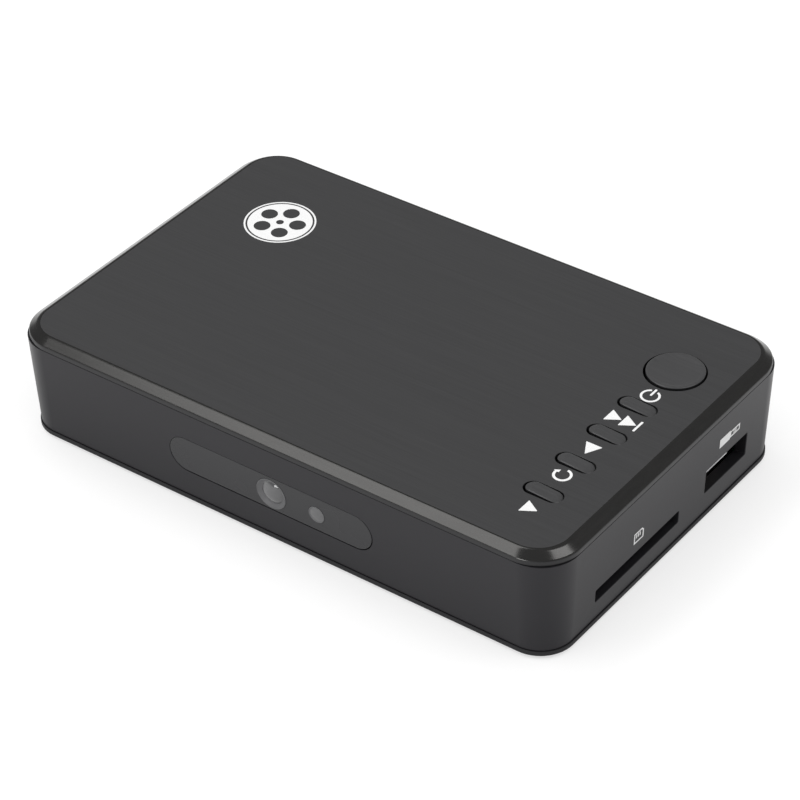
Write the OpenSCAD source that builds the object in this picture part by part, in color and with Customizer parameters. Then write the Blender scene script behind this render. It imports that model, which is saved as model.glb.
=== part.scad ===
// Small media player. A slim moulded case under a bevelled, brushed metal top
// plate, with five push buttons, an infra-red window in the front, a card slot
// and a plug socket in the right end, and video, sound and power sockets in the
// rear. Inside are a main board, a key board and the ribbon between them.
// Millimetres. The origin is the middle of the footprint, at the soles of the
// feet. X runs along the long side with the card slot at +X, the front is -Y.

/* [Case] */
// Length of the case over the moulded walls
case_l = 118; // [112:1:140]
// Depth of the case from front to rear
case_w = 75; // [72:1:95]
// Height of the case without its feet
case_h = 22.2; // [22:0.2:28]
// Corner radius of the moulded walls at their top
corner_r = 7.4; // [5:0.1:10]
// Thickness of the walls at their foot
wall_t = 2.0; // [1.6:0.1:2.6]
// How far each wall leans in from top to foot
wall_draft = 0.9; // [0.2:0.1:1.4]
// Thickness of the deck under the top plate
deck_t = 1.6; // [1.2:0.1:2.2]

/* [Top plate] */
// Corner radius of the top plate
plate_corner_r = 8.2; // [6:0.1:11]
// Run of the bevel on the two short ends
bevel_end = 2.3; // [1:0.1:3]
// Run of the bevel on the two long sides
bevel_side = 1.9; // [1:0.1:3]
// Height that the bevel drops
bevel_drop = 1.0; // [0.6:0.1:1.4]
// Height of the upright lip under the bevel
lip_h = 1.2; // [0.6:0.1:1.6]
// Height of the shadow gap under the lip
seam_gap = 0.3; // [0.2:0.1:0.6]
// Depth of the shadow gap behind the lip
seam_depth = 0.6; // [0.4:0.1:1]

/* [Base cover] */
// Thickness of the base cover
base_t = 1.0; // [0.9:0.1:1.6]
// How far the base cover's edge stands in from the case outline
base_inset = 0.7; // [0.4:0.1:1.2]
// Height of the groove between base cover and walls
groove_h = 0.3; // [0.2:0.1:0.6]
// Depth of that groove
groove_depth = 0.8; // [0.5:0.1:1.1]
// Height of the locating rib inside the walls
rib_h = 1.5; // [1:0.1:1.8]
// Thickness of the locating rib
rib_t = 1.2; // [0.8:0.1:1.6]
// Number of vent slots
vent_n = 11; // [5:2:15]
// Length of one vent slot
vent_l = 18; // [8:1:24]
// Width of one vent slot
vent_w = 1.5; // [1:0.1:2]
// Spacing of the vent slots
vent_pitch = 3.6; // [3:0.1:4.5]

/* [Feet and case screws] */
// Radius of a rubber foot
foot_r = 4.5; // [3:0.1:5.5]
// Height that the feet lift the case
foot_stand = 0.6; // [0.4:0.1:1.5]
// Depth of the pocket that holds each foot
foot_pocket = 0.4; // [0.2:0.1:0.5]
// Distance of each foot's centre from the case edges
foot_in = 14; // [12:0.5:18]
// Radius of a screw boss
boss_r = 3.0; // [2.6:0.1:3.4]
// Distance of a boss's centre from the inner walls
boss_in = 3.5; // [3.5:0.1:5]
// Radius of the case screws' shank
screw_r = 1.25; // [1:0.05:1.5]
// Radius of the case screws' head
screw_head_r = 2.3; // [2:0.1:2.6]
// Height of the case screws' head
screw_head_h = 1.1; // [0.8:0.1:1.2]
// Length of the case screws under the head
screw_l = 9; // [6:0.5:14]

/* [Buttons] */
// Distance of the button row from the right end
key_in = 12.5; // [11:0.5:16]
// Place of the first long button along the depth
key_y0 = -21.9; // [-22.5:0.1:-21]
// Spacing of the four long buttons
key_pitch = 9.6; // [8:0.1:10]
// Length of a long button's hole
key_hole_l = 8.7; // [7:0.1:9.4]
// Width of a long button's hole
key_hole_w = 3.6; // [3:0.1:4.2]
// Place of the round power button along the depth
power_y = 19.1; // [18:0.1:20]
// Radius of the power button's hole
power_hole_r = 5.95; // [4.5:0.05:6.3]
// Gap between a button and its hole
key_gap = 0.25; // [0.2:0.05:0.35]
// Height that the buttons stand proud of the plate
key_proud = 0.2; // [0:0.05:0.6]
// How far a long button's face falls from its middle to its far end
key_drop = 0.75; // [0.05:0.05:0.9]
// Depth of the dish in the power button
power_dish = 0.25; // [0.1:0.05:0.4]
// Travel of every button
key_travel = 0.5; // [0.3:0.05:0.6]
// Thickness of the flange that keeps a button in
flange_t = 1.0; // [0.8:0.1:1.2]
// How far the flange reaches past the hole
flange_reach = 0.7; // [0.5:0.1:1]

/* [Infra-red window] */
// Place of the window's middle along the front
window_x = -0.5; // [-8:0.5:8]
// Height of the window's middle over the base cover's underside
window_rise = 10.3; // [9.8:0.1:11]
// Length of the window
window_l = 44.4; // [36:0.2:56]
// Height of the window
window_h = 7.3; // [7:0.1:8.4]
// Thickness of the window panel
window_t = 1.2; // [0.8:0.1:1.4]
// Height that the panel stands proud of the wall
window_proud = 0.25; // [0.1:0.05:0.4]
// Place of the receiver lens along the front
ir_x = 0; // [-6:0.5:4]
// Radius of the receiver lens
ir_r = 3.2; // [2.6:0.1:3.2]
// Place of the light along the front
led_x = 9.9; // [8.5:0.1:15]
// Radius of the light's lens
led_r = 1.7; // [1.2:0.1:1.9]

/* [Right end sockets] */
// Place of the card slot's middle, as a share of the depth from the front
sd_share = 0.359; // [0.353:0.001:0.367]
// Width of the memory card that it takes
card_w = 24; // [23.8:0.1:24.2]
// Thickness of the memory card that it takes
card_t = 2.1; // [2:0.1:2.3]
// Room beside the card in the wall's slot
card_gap_w = 1.0; // [0.5:0.1:1.3]
// Room over and under the card in the wall's slot
card_gap_h = 0.25; // [0.15:0.05:0.4]
// Place of the plug socket's middle, as a share of the depth from the front
usb_share = 0.736; // [0.733:0.001:0.743]
// Width of the plug socket's hole in the wall
usb_open_w = 13.6; // [13.2:0.1:14.4]
// Height of the plug socket's hole in the wall
usb_open_h = 5.0; // [4.9:0.1:5.6]
// Outer width of the plug socket's shell
usb_w = 13.2; // [13:0.1:13.4]
// Outer height of the plug socket's shell
usb_h = 5.8; // [5.6:0.1:6]
// Depth of the plug socket
usb_l = 14; // [12:0.5:17]

/* [Rear sockets] */
// Place of the video socket along the rear
hdmi_x = 2; // [-2:0.5:6]
// Width of the video socket's mouth
hdmi_w = 14; // [13.8:0.1:14.2]
// Height of the video socket's mouth
hdmi_h = 4.55; // [4.5:0.05:4.6]
// Depth of the video socket
hdmi_l = 11; // [9:0.5:14]
// Distance between the sound socket and the power socket
av_step = 18; // [15:0.5:22]
// Radius of the sound socket's bore
av_r = 1.8; // [1.75:0.05:1.9]
// Length of the sound socket's bore
av_l = 13; // [11:0.5:15]
// Distance of the power socket from the left end
dc_in = 22; // [19:0.5:25]
// Radius of the power socket's mouth
dc_r = 3.2; // [3:0.1:3.4]
// Radius of the power socket's centre pin
dc_pin_r = 1.05; // [0.9:0.05:1.25]
// Depth of the power socket's mouth
dc_depth = 9.5; // [9:0.5:11]

/* [Boards] */
// Gap between the main board and the left wall
board_left = 10.4; // [9:0.1:14]
// Thickness of the main board
board_t = 1.6; // [1.2:0.2:1.6]
// Height of the standoffs under the main board
standoff_h = 2.0; // [1.8:0.1:2.2]
// Gap between the main board and the other walls
board_gap = 0.8; // [0.6:0.1:1.2]
// Thickness of the key board
key_board_t = 1.0; // [0.8:0.1:1.2]
// Width of the key board
key_board_w = 8.6; // [8.2:0.1:9]
// Edge length of a key switch
switch_w = 6; // [5:0.1:6.2]
// Height of a key switch's housing
switch_h = 3.3; // [2.8:0.1:3.4]
// Radius of a key switch's plunger
plunger_r = 1.7; // [1.2:0.1:1.9]
// Height that a plunger stands out of its housing
plunger_out = 0.8; // [0.7:0.05:1]
// Edge length of the processor
chip_w = 19; // [14:1:22]
// Edge length of the heat sink
sink_w = 22; // [18:1:24]
// Height of the heat sink
sink_h = 7; // [4:0.5:9]
// Number of fins on the heat sink
sink_fins = 7; // [5:1:9]
// Width of the ribbon between the boards
ribbon_w = 5.6; // [4:0.1:5.8]
// Thickness of the ribbon
ribbon_t = 0.3; // [0.2:0.05:0.4]

/* [Hidden] */
$fn = 64;

// Clearances and small common sizes
fit = 0.1;        // a fixed piece in its pocket or hole
slip = 0.25;      // a moving piece in its guide
sheet_t = 0.3;    // pressed metal of shells and contacts
over = 1;         // how far a cut runs past the face that it opens

// Levels, from the soles of the feet up
base_z = foot_stand;
floor_z = base_z + base_t;
wall_foot = floor_z + groove_h;
top_z = base_z + case_h;
bevel_z = top_z - bevel_drop;
lip_z = bevel_z - lip_h;
wall_top = lip_z - seam_gap;
deck_z = lip_z - deck_t;
board_z = floor_z + standoff_h;
board_top = board_z + board_t;

// The cavity inside the walls
lean = wall_draft + wall_t;
in_l = case_l - 2 * lean;
in_w = case_w - 2 * lean;
in_r = max(1, corner_r - lean);
wall_rise = wall_top - wall_foot;
tilt = atan(wall_draft / wall_rise);

// How far the outer face of a wall stands in at height z
function wall_in(z) = wall_draft * (wall_top - z) / wall_rise;

// Button stack, from the deck down
key_x = case_l / 2 - key_in;
flange_top = deck_z - fit;
flange_z = flange_top - flange_t;
nub_h = 0.4;
plunger_top = flange_z - nub_h;
switch_top = plunger_top - plunger_out;
key_board_top = switch_top - switch_h;
key_board_z = key_board_top - key_board_t;
key_hole_y = [for (i = [0:3]) key_y0 + i * key_pitch];
key_boss_r = 1.6;
key_board_end = key_boss_r + 0.3;
key_board_r = 2.5;
key_screw_y = [
    key_y0 - switch_w / 2 - key_boss_r - 0.5,
    (key_hole_y[1] + key_hole_y[2]) / 2,
    power_y + power_hole_r + flange_reach + key_boss_r + slip
];

// Screws
head_pocket_r = screw_head_r + 0.3;
head_pocket_h = screw_head_h + 0.1;
pad_r = boss_r + 1;
pad_z = base_z + head_pocket_h + 1;
boss_x = in_l / 2 - boss_in;
boss_y = in_w / 2 - boss_in;
small_screw_r = 0.85;
key_screw_l = 4;
small_head_r = 2.0;
small_head_h = 1.2;
standoff_r = 2.3;

// Window and what stands behind it
window_z = base_z + window_rise;
recess = window_t - window_proud;
lens_flange_t = 0.6;
lens_flange_out = 0.3;

// Sockets
socket_mouth_x = in_l / 2 - sheet_t;
socket_mouth_y = in_w / 2 - sheet_t;
sd_y = case_w * (sd_share - 0.5);
usb_y = case_w * (usb_share - 0.5);
dc_x = dc_in - case_l / 2;
av_x = dc_x + av_step;
sd_open_w = card_w + 2 * card_gap_w;
sd_open_h = card_t + 2 * card_gap_h;
sd_body_w = card_w + 4;
sd_body_l = 27;
sd_x0 = socket_mouth_x - sd_body_l;
sd_floor = 0.4;
sd_body_h = card_t + 2 * slip + sd_floor;
sd_z = board_top + sd_body_h / 2;
usb_lift = 0.6;
usb_z = board_top + usb_lift + usb_h / 2;
usb_lip = 0.35;
leg_end = 0.6;
tongue_back = 1.5;
hdmi_lift = 0.9;
hdmi_z = board_top + hdmi_lift + hdmi_h / 2;
hdmi_back = 3;
hdmi_mouth = 1;
av_body_w = 6.6;
av_body_h = 6;
av_z = board_top + av_body_h / 2;
av_nose_r = 2.9;
av_nose_l = 2.2;
dc_body_w = 9;
dc_body_l = 14;
dc_front_t = 3;
dc_rise = 6.5;
dc_z = board_top + dc_rise;
dc_hole_r = dc_r + 0.8;

// Main board and its parts
board_x0 = -in_l / 2 + board_left;
board_x1 = in_l / 2 - board_gap;
board_l = board_x1 - board_x0;
board_w = in_w - 2 * board_gap;
board_screw_in = 4.3;
rear_screw_in = 11;
board_screw_y = board_w / 2 - board_screw_in;
board_screws_at = [
    [sd_x0 - standoff_r - 3.7, -board_screw_y],
    [board_x1 - rear_screw_in, board_screw_y],
    [board_x0 + board_screw_in, -board_screw_y],
    [(av_x + dc_x) / 2, board_screw_y]
];
chip_at = [board_x0 + 0.413 * board_l, -0.06 * board_w];
chip_h = 1.6;
part_gap = 3;
front_row_in = 12;
legged_h = 1.1;
memory_l = 12;
memory_w = 8;
memory_step = 13;
flash_l = 16;
flash_w = 6;
crystal_l = 11;
crystal_w = 4.6;
crystal_h = 3.5;
can_r = 3.15;
can_h = 7.2;
small_can_r = 2.5;
small_can_h = 5.4;
coil_w = 7;
coil_h = 4;
smd_l = 1.6;
smd_w = 0.8;
smd_step_x = 3;
smd_step_y = 2.2;
can_y = socket_mouth_y - dc_body_l - can_r - part_gap / 2;
front_row_y = -board_w / 2 + front_row_in;

// ---------- common shapes ----------

module corners(x, y) {
    for (sx = [-1, 1], sy = [-1, 1]) translate([sx * x, sy * y, 0]) children();
}

// Rectangle with round corners
module round_rect(l, w, r) {
    square([l - 2 * r, w], center = true);
    square([l, w - 2 * r], center = true);
    corners(l / 2 - r, w / 2 - r) circle(r);
}

// The same outline, stepped in by inset on every side
module inset_rect(l, w, r, inset) {
    round_rect(l - 2 * inset, w - 2 * inset, max(0.5, r - inset));
}

// Slot outline with round ends along its length
module obround(l, w) {
    square([l - w, w], center = true);
    for (s = [-1, 1]) translate([s * (l - w) / 2, 0]) circle(w / 2);
}

// Block with round corners whose four walls lean in by inset at the foot
module lean_block(l, w, r, h, inset) {
    corners(l / 2 - r, w / 2 - r) cylinder(h = h, r1 = r - inset, r2 = r);
    rotate([90, 0, 0]) linear_extrude(w - 2 * r, center = true) lean_outline(l, h, inset);
    rotate([90, 0, 90]) linear_extrude(l - 2 * r, center = true) lean_outline(w, h, inset);
}

module lean_outline(l, h, inset) {
    polygon([[-l / 2 + inset, 0], [l / 2 - inset, 0], [l / 2, h], [-l / 2, h]]);
}

// Box that stands on z = 0 and is centred across
module block(l, w, h) {
    translate([-l / 2, -w / 2, 0]) cube([l, w, h]);
}

// Places its children on the front wall, facing out, at x and height z
module on_front(x, z) {
    translate([x, -case_w / 2 + wall_in(z), z]) rotate([90 + tilt, 0, 0]) children();
}

// Pan head screw, head down, with its head's seat at z = 0
module screw(r, l, head_r, head_h) {
    cylinder(h = l - r, r = r);
    translate([0, 0, l - r]) cylinder(h = r, r1 = r, r2 = r / 2);
    difference() {
        translate([0, 0, -head_h]) cylinder(h = head_h, r = head_r);
        for (a = [0, 90]) rotate(a) translate([0, 0, -head_h - 0.01]) block(head_r, head_h / 3, head_h / 2);
    }
}

// ---------- case ----------

module top_cover() {
    color("#3d3d3f") difference() {
        union() {
            hull() {
                translate([0, 0, bevel_z]) linear_extrude(0.01) round_rect(case_l, case_w, plate_corner_r);
                translate([0, 0, top_z - 0.01]) linear_extrude(0.01)
                    round_rect(case_l - 2 * bevel_end, case_w - 2 * bevel_side,
                               plate_corner_r - (bevel_end + bevel_side) / 2);
            }
            translate([0, 0, lip_z]) linear_extrude(lip_h) round_rect(case_l, case_w, plate_corner_r);
        }
        button_holes(lip_z - over, top_z + over);
    }
}

// The five holes that the buttons come through
module button_holes(z0, z1) {
    for (y = key_hole_y) translate([key_x, y, z0]) linear_extrude(z1 - z0) obround(key_hole_l, key_hole_w);
    translate([key_x, power_y, z0]) cylinder(h = z1 - z0, r = power_hole_r);
}

module body_shell() {
    color("#39393c") difference() {
        union() {
            difference() {
                union() {
                    translate([0, 0, wall_foot]) lean_block(case_l, case_w, corner_r, wall_rise, wall_draft);
                    deck_land();
                }
                cavity();
            }
            case_bosses();
            key_bosses();
        }
        button_holes(deck_z - over, lip_z + over);
        front_openings();
        end_openings();
        rear_openings();
    }
}

// Raised land on the deck that the top plate is bonded to
module deck_land() {
    translate([0, 0, wall_top - 0.4]) linear_extrude(seam_gap + 0.4)
        inset_rect(case_l, case_w, plate_corner_r, seam_depth);
}

module cavity() {
    translate([0, 0, wall_foot - over]) linear_extrude(deck_z - wall_foot + over) round_rect(in_l, in_w, in_r);
}

// Corner bosses for the case screws, with a web to each wall
module case_bosses() {
    web_z = floor_z + rib_h + 0.6;
    web_t = 1.2;
    difference() {
        union() {
            corners(boss_x, boss_y) translate([0, 0, pad_z]) cylinder(h = deck_z - pad_z + 0.4, r = boss_r);
            for (sx = [-1, 1], sy = [-1, 1]) {
                translate([sx * (boss_x + boss_in / 2 + 0.2), sy * boss_y, web_z])
                    block(boss_in + 0.4, web_t, deck_z - web_z + 0.4);
                translate([sx * boss_x, sy * (boss_y + boss_in / 2 + 0.2), web_z])
                    block(web_t, boss_in + 0.4, deck_z - web_z + 0.4);
            }
        }
        corners(boss_x, boss_y) translate([0, 0, pad_z - over])
            cylinder(h = screw_l + over + 1, r = screw_r + fit / 2);
    }
}

// Bosses under the deck that carry the key board
module key_bosses() {
    for (y = key_screw_y) translate([key_x, y, key_board_top]) difference() {
        cylinder(h = deck_z - key_board_top + 0.4, r = key_boss_r);
        translate([0, 0, -over]) cylinder(h = key_screw_l + over, r = small_screw_r + fit / 2);
    }
}

// Window recess, with the holes for the lens and the light
module front_openings() {
    on_front(window_x, window_z) translate([0, 0, -recess])
        linear_extrude(recess + over) obround(window_l + 2 * fit, window_h + 2 * fit);
    for (hole = [[ir_x, ir_r], [led_x, led_r]]) on_front(hole[0], window_z)
        translate([0, 0, -lean - over]) cylinder(h = lean + over, r = hole[1] + lens_flange_out + fit);
}

// Card slot and the hole for the plug socket
module end_openings() {
    cut_l = lean + 2 * over;
    translate([in_l / 2 - over, sd_y - sd_open_w / 2, sd_z - sd_open_h / 2])
        cube([cut_l, sd_open_w, sd_open_h]);
    translate([in_l / 2 - over, usb_y - usb_open_w / 2, usb_z - usb_open_h / 2])
        cube([cut_l, usb_open_w, usb_open_h]);
}

module rear_openings() {
    margin = 0.7;
    cut_l = lean + 2 * over;
    translate([hdmi_x - hdmi_w / 2 - margin, in_w / 2 - over, hdmi_z - hdmi_h / 2 - margin])
        cube([hdmi_w + 2 * margin, cut_l, hdmi_h + 2 * margin]);
    translate([av_x, in_w / 2 - over, av_z]) rotate([-90, 0, 0]) cylinder(h = cut_l, r = av_nose_r + slip);
    translate([dc_x, in_w / 2 - over, dc_z]) rotate([-90, 0, 0]) cylinder(h = cut_l, r = dc_hole_r);
}

module base_cover() {
    outline_l = case_l - 2 * base_inset;
    outline_w = case_w - 2 * base_inset;
    outline_r = corner_r - base_inset;
    color("#2f2f31") difference() {
        union() {
            translate([0, 0, base_z]) linear_extrude(base_t) round_rect(outline_l, outline_w, outline_r);
            translate([0, 0, floor_z]) linear_extrude(groove_h) difference() {
                inset_rect(outline_l, outline_w, outline_r, groove_depth);
                inset_rect(in_l, in_w, in_r, rib_t);
            }
            locating_rib();
            screw_pads();
            for (p = board_screws_at) translate([p[0], p[1], base_z])
                cylinder(h = board_z - base_z, r = standoff_r);
        }
        corners(boss_x, boss_y) {
            translate([0, 0, base_z - over]) cylinder(h = head_pocket_h + over, r = head_pocket_r);
            translate([0, 0, base_z]) cylinder(h = pad_z - base_z + over, r = screw_r + slip);
        }
        for (p = board_screws_at) translate([p[0], p[1], base_z + 0.5])
            cylinder(h = board_z - base_z, r = small_screw_r + fit / 2);
        corners(case_l / 2 - foot_in, case_w / 2 - foot_in)
            translate([0, 0, base_z - over]) cylinder(h = foot_pocket + over, r = foot_r + fit);
        vents();
    }
}

// Pads that the case bosses stand on, trimmed to the inside of the walls
module screw_pads() {
    intersection() {
        corners(boss_x, boss_y) translate([0, 0, base_z]) cylinder(h = pad_z - base_z, r = pad_r);
        translate([0, 0, base_z]) linear_extrude(pad_z - base_z) inset_rect(in_l, in_w, in_r, fit);
    }
}

// Rib that stands inside the walls and keeps the cover in place
module locating_rib() {
    difference() {
        translate([0, 0, floor_z]) linear_extrude(rib_h) difference() {
            inset_rect(in_l, in_w, in_r, fit);
            inset_rect(in_l, in_w, in_r, rib_t);
        }
        corners(boss_x, boss_y) translate([0, 0, pad_z]) cylinder(h = rib_h, r = boss_r + boss_in);
    }
}

module vents() {
    for (i = [0:vent_n - 1]) translate([(i - (vent_n - 1) / 2) * vent_pitch, 0, base_z - over])
        linear_extrude(base_t + 2 * over) rotate(90) obround(vent_l, vent_w);
}

// Rubber foot with a bevelled sole, in its pocket at one corner
module foot(sx, sy) {
    sole = 0.3;
    h = base_z + foot_pocket;
    color("#1b1b1c") translate([sx * (case_l / 2 - foot_in), sy * (case_w / 2 - foot_in), 0])
        rotate_extrude() polygon([[0, 0], [foot_r - sole, 0], [foot_r, sole], [foot_r, h], [0, h]]);
}

module foot_front_left() { foot(-1, -1); }
module foot_front_right() { foot(1, -1); }
module foot_rear_left() { foot(-1, 1); }
module foot_rear_right() { foot(1, 1); }

module case_screws() {
    color("#8d8f92") corners(boss_x, boss_y) translate([0, 0, base_z + head_pocket_h])
        screw(screw_r, screw_l, screw_head_r, screw_head_h);
}

// ---------- front window ----------

module ir_window() {
    edge = 0.2;
    color("#4a4a4d") difference() {
        on_front(window_x, window_z) translate([0, 0, -recess]) {
            linear_extrude(window_t - edge) obround(window_l, window_h);
            linear_extrude(window_t) obround(window_l - 2 * edge, window_h - 2 * edge);
        }
        for (hole = [[ir_x, ir_r], [led_x, led_r]]) on_front(hole[0], window_z)
            translate([0, 0, -recess - over]) cylinder(h = window_t + 2 * over, r = hole[1] + fit);
    }
}

// Clear lens pushed in from behind, with a crowned face and a flange
module lens(x, r, crown, back) {
    ball = (r * r + crown * crown) / (2 * crown);
    on_front(x, window_z) {
        intersection() {
            translate([0, 0, -recess - lens_flange_t]) cylinder(h = window_t + lens_flange_t + crown, r = r);
            translate([0, 0, window_proud + crown - ball]) sphere(ball);
        }
        translate([0, 0, -recess - lens_flange_t]) cylinder(h = lens_flange_t, r = r + lens_flange_out);
        translate([0, 0, -recess - back]) cylinder(h = back, r = r * 0.9);
    }
}

module ir_lens() { color([0.75, 0.76, 0.8, 0.7]) lens(ir_x, ir_r, 0.15, 1.4); }
module led_lens() { color([0.8, 0.8, 0.84, 0.8]) lens(led_x, led_r, 0.1, 1.4); }

// Receiver: moulded block with a domed face, on three legs
module ir_receiver() {
    body_w = 5.6;
    body_d = 3.4;
    body_h = 6.6;
    dome_r = 2.3;
    face_y = -in_w / 2 + 2.6;
    leg = 0.5;
    color("#26262b") translate([ir_x, face_y, 0]) {
        translate([0, body_d / 2, window_z - body_h / 2]) block(body_w, body_d, body_h);
        intersection() {
            translate([0, 0.8, window_z]) sphere(dome_r);
            translate([0, -dome_r / 2, window_z - dome_r]) block(2 * dome_r, dome_r + 1, 2 * dome_r);
        }
    }
    color("#b9bcc0") for (i = [-1:1]) translate([ir_x + i * 1.9, face_y + body_d / 2, board_top])
        block(leg, leg, window_z - body_h / 2 - board_top);
}

// Round light that lies behind its lens, with its two legs bent to the board
module status_led() {
    bulb_r = 1.5;
    bulb_l = 2.6;
    rim_r = 1.9;
    leg = 0.5;
    leg_out = 1.8;
    leg_pitch = 1.27;
    back_y = -in_w / 2 + bulb_l + 2 * bulb_r;
    color("#c9ccd2") translate([led_x, back_y, window_z]) rotate([90, 0, 0]) {
        cylinder(h = 0.8, r = rim_r);
        cylinder(h = bulb_l, r = bulb_r);
        translate([0, 0, bulb_l]) sphere(bulb_r);
    }
    color("#b9bcc0") for (s = [-1, 1]) translate([led_x + s * leg_pitch / 2, back_y, 0]) {
        translate([0, leg_out / 2, window_z - leg / 2]) block(leg, leg_out, leg);
        translate([0, leg_out - leg / 2, board_top]) block(leg, leg, window_z - board_top);
    }
}

// ---------- buttons and key board ----------

// Long button: its face is level to the middle and then rolls off towards the far end.
// A flange holds it under the deck, and a nub stands over the plunger.
module long_button(i) {
    cap_l = key_hole_l - 2 * key_gap;
    cap_w = key_hole_w - 2 * key_gap;
    color("#3a3a3c") translate([key_x, key_hole_y[i], 0]) {
        difference() {
            translate([0, 0, flange_z]) linear_extrude(top_z + key_proud - flange_z) obround(cap_l, cap_w);
            key_roll_off(cap_l / 2, cap_w);
        }
        translate([0, 0, flange_z]) linear_extrude(flange_t)
            obround(key_hole_l + 2 * flange_reach, key_hole_w + 2 * flange_reach);
        translate([0, 0, plunger_top]) cylinder(h = nub_h, r = plunger_r);
    }
}

// What the roll-off takes from a cap of that half length: all above a roll that lies across it
module key_roll_off(half_l, cap_w) {
    roll_r = (half_l * half_l + key_drop * key_drop) / (2 * key_drop);
    translate([0, cap_w, top_z + key_proud]) rotate([90, 0, 0]) linear_extrude(2 * cap_w) difference() {
        translate([0, -key_drop - over]) square([half_l + over, key_drop + 2 * over]);
        translate([0, -roll_r]) circle(roll_r, $fn = 240);
    }
}

module play_button() { long_button(0); }
module return_button() { long_button(1); }
module down_button() { long_button(2); }
module next_button() { long_button(3); }

// Round button with a shallow dish in its face
module power_button() {
    cap_r = power_hole_r - key_gap;
    rim = 0.5;
    dish_r = cap_r - rim;
    ball = (dish_r * dish_r + power_dish * power_dish) / (2 * power_dish);
    color("#3a3a3c") translate([key_x, power_y, 0]) {
        difference() {
            translate([0, 0, flange_z]) cylinder(h = top_z + key_proud - flange_z, r = cap_r);
            translate([0, 0, top_z + key_proud - power_dish + ball]) sphere(ball, $fn = 96);
        }
        translate([0, 0, flange_z]) cylinder(h = flange_t, r = power_hole_r + flange_reach);
        translate([0, 0, plunger_top]) cylinder(h = nub_h, r = plunger_r);
    }
}

// Plunger of the key switch under the button at y
module plunger(y) {
    foot_z = switch_top - 1.7;
    color("#d8d3c4") translate([key_x, y, foot_z]) cylinder(h = plunger_top - foot_z, r = plunger_r);
}

module power_plunger() { plunger(power_y); }
module next_plunger() { plunger(key_hole_y[3]); }
module down_plunger() { plunger(key_hole_y[2]); }
module return_plunger() { plunger(key_hole_y[1]); }
module play_plunger() { plunger(key_hole_y[0]); }

// Housing of a key switch, with the well for its plunger and four legs
module switch(y) {
    well_z = key_board_top + 0.4;
    leg_w = 0.7;
    leg_l = 1.0;
    translate([key_x, y, 0]) {
        color("#2a2a2c") difference() {
            translate([0, 0, key_board_top]) block(switch_w, switch_w, switch_h);
            translate([0, 0, well_z]) cylinder(h = switch_h, r = plunger_r + slip);
        }
        color("#c2c4c8") for (sx = [-1, 1], sy = [-1, 1])
            translate([sx * (switch_w + leg_l) / 2, sy * switch_w / 3, key_board_top])
                block(leg_l, leg_w, sheet_t);
    }
}

module power_switch() { switch(power_y); }
module next_switch() { switch(key_hole_y[3]); }
module down_switch() { switch(key_hole_y[2]); }
module return_switch() { switch(key_hole_y[1]); }
module play_switch() { switch(key_hole_y[0]); }

module key_board() {
    y0 = key_screw_y[0] - key_board_end;
    y1 = key_screw_y[2] + key_board_end;
    color("#1f5a3a") difference() {
        translate([key_x, (y0 + y1) / 2, key_board_z]) linear_extrude(key_board_t)
            round_rect(key_board_w, y1 - y0, key_board_r);
        for (y = key_screw_y) translate([key_x, y, key_board_z - over])
            cylinder(h = key_board_t + 2 * over, r = small_screw_r + slip);
        corners(boss_x, boss_y) translate([0, 0, key_board_z - over])
            cylinder(h = key_board_t + 2 * over, r = boss_r + fit + slip);
    }
}

module key_board_screws() {
    color("#9a9ca0") for (y = key_screw_y) translate([key_x, y, key_board_z])
        screw(small_screw_r, key_screw_l, small_head_r, small_head_h);
}

// Ribbon: out of the key board's connector, over the card socket, down an S bend
// behind it and into the main board's connector
conn_h = 2;
conn_l = 4;
conn_w = ribbon_w + 1.6;
conn_grip = 1;
ribbon_y = usb_y - usb_w / 2 - slip - conn_w / 2;
ribbon_high = key_board_z - conn_h / 2;
ribbon_low = board_top + conn_h / 2;
ribbon_bend = (ribbon_high - ribbon_low) / 2 - ribbon_t;
ribbon_turn_x = sd_x0 - 1;
ribbon_x0 = key_x - conn_l / 2;
ribbon_x1 = ribbon_turn_x - 2 * ribbon_bend - 1.5 - conn_grip;

module key_ribbon() {
    r = ribbon_bend;
    color("#cfcfca") translate([0, ribbon_y + ribbon_w / 2, 0]) rotate([90, 0, 0]) linear_extrude(ribbon_w) {
        translate([ribbon_turn_x, ribbon_high - ribbon_t / 2]) square([ribbon_x0 - ribbon_turn_x, ribbon_t]);
        translate([ribbon_turn_x, ribbon_high - r]) quarter_turn(r, 90);
        translate([ribbon_turn_x - r - ribbon_t / 2, ribbon_low + r])
            square([ribbon_t, ribbon_high - ribbon_low - 2 * r]);
        translate([ribbon_turn_x - 2 * r, ribbon_low + r]) quarter_turn(r, 270);
        translate([ribbon_x1, ribbon_low - ribbon_t / 2]) square([ribbon_turn_x - 2 * r - ribbon_x1, ribbon_t]);
    }
}

// Quarter of a ring of the ribbon's thickness, from angle a on
module quarter_turn(r, a) {
    intersection() {
        difference() {
            circle(r + ribbon_t / 2);
            circle(r - ribbon_t / 2);
        }
        rotate(a) square(r + ribbon_t);
    }
}

// The two connectors that the ribbon plugs into
module ribbon_connectors() {
    color("#d9d5c6") {
        translate([ribbon_x0 + conn_l / 2 - conn_grip, ribbon_y, key_board_z - conn_h]) ribbon_connector();
        translate([ribbon_x1 - conn_l / 2 + conn_grip, ribbon_y, board_top]) mirror([1, 0, 0])
            ribbon_connector();
    }
}

module ribbon_connector() {
    difference() {
        block(conn_l, conn_w, conn_h);
        translate([-conn_l, -ribbon_w / 2 - fit / 2, (conn_h - ribbon_t - fit) / 2])
            cube([conn_l / 2 + conn_grip + fit, ribbon_w + fit, ribbon_t + fit]);
    }
}

// ---------- main board ----------

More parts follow.
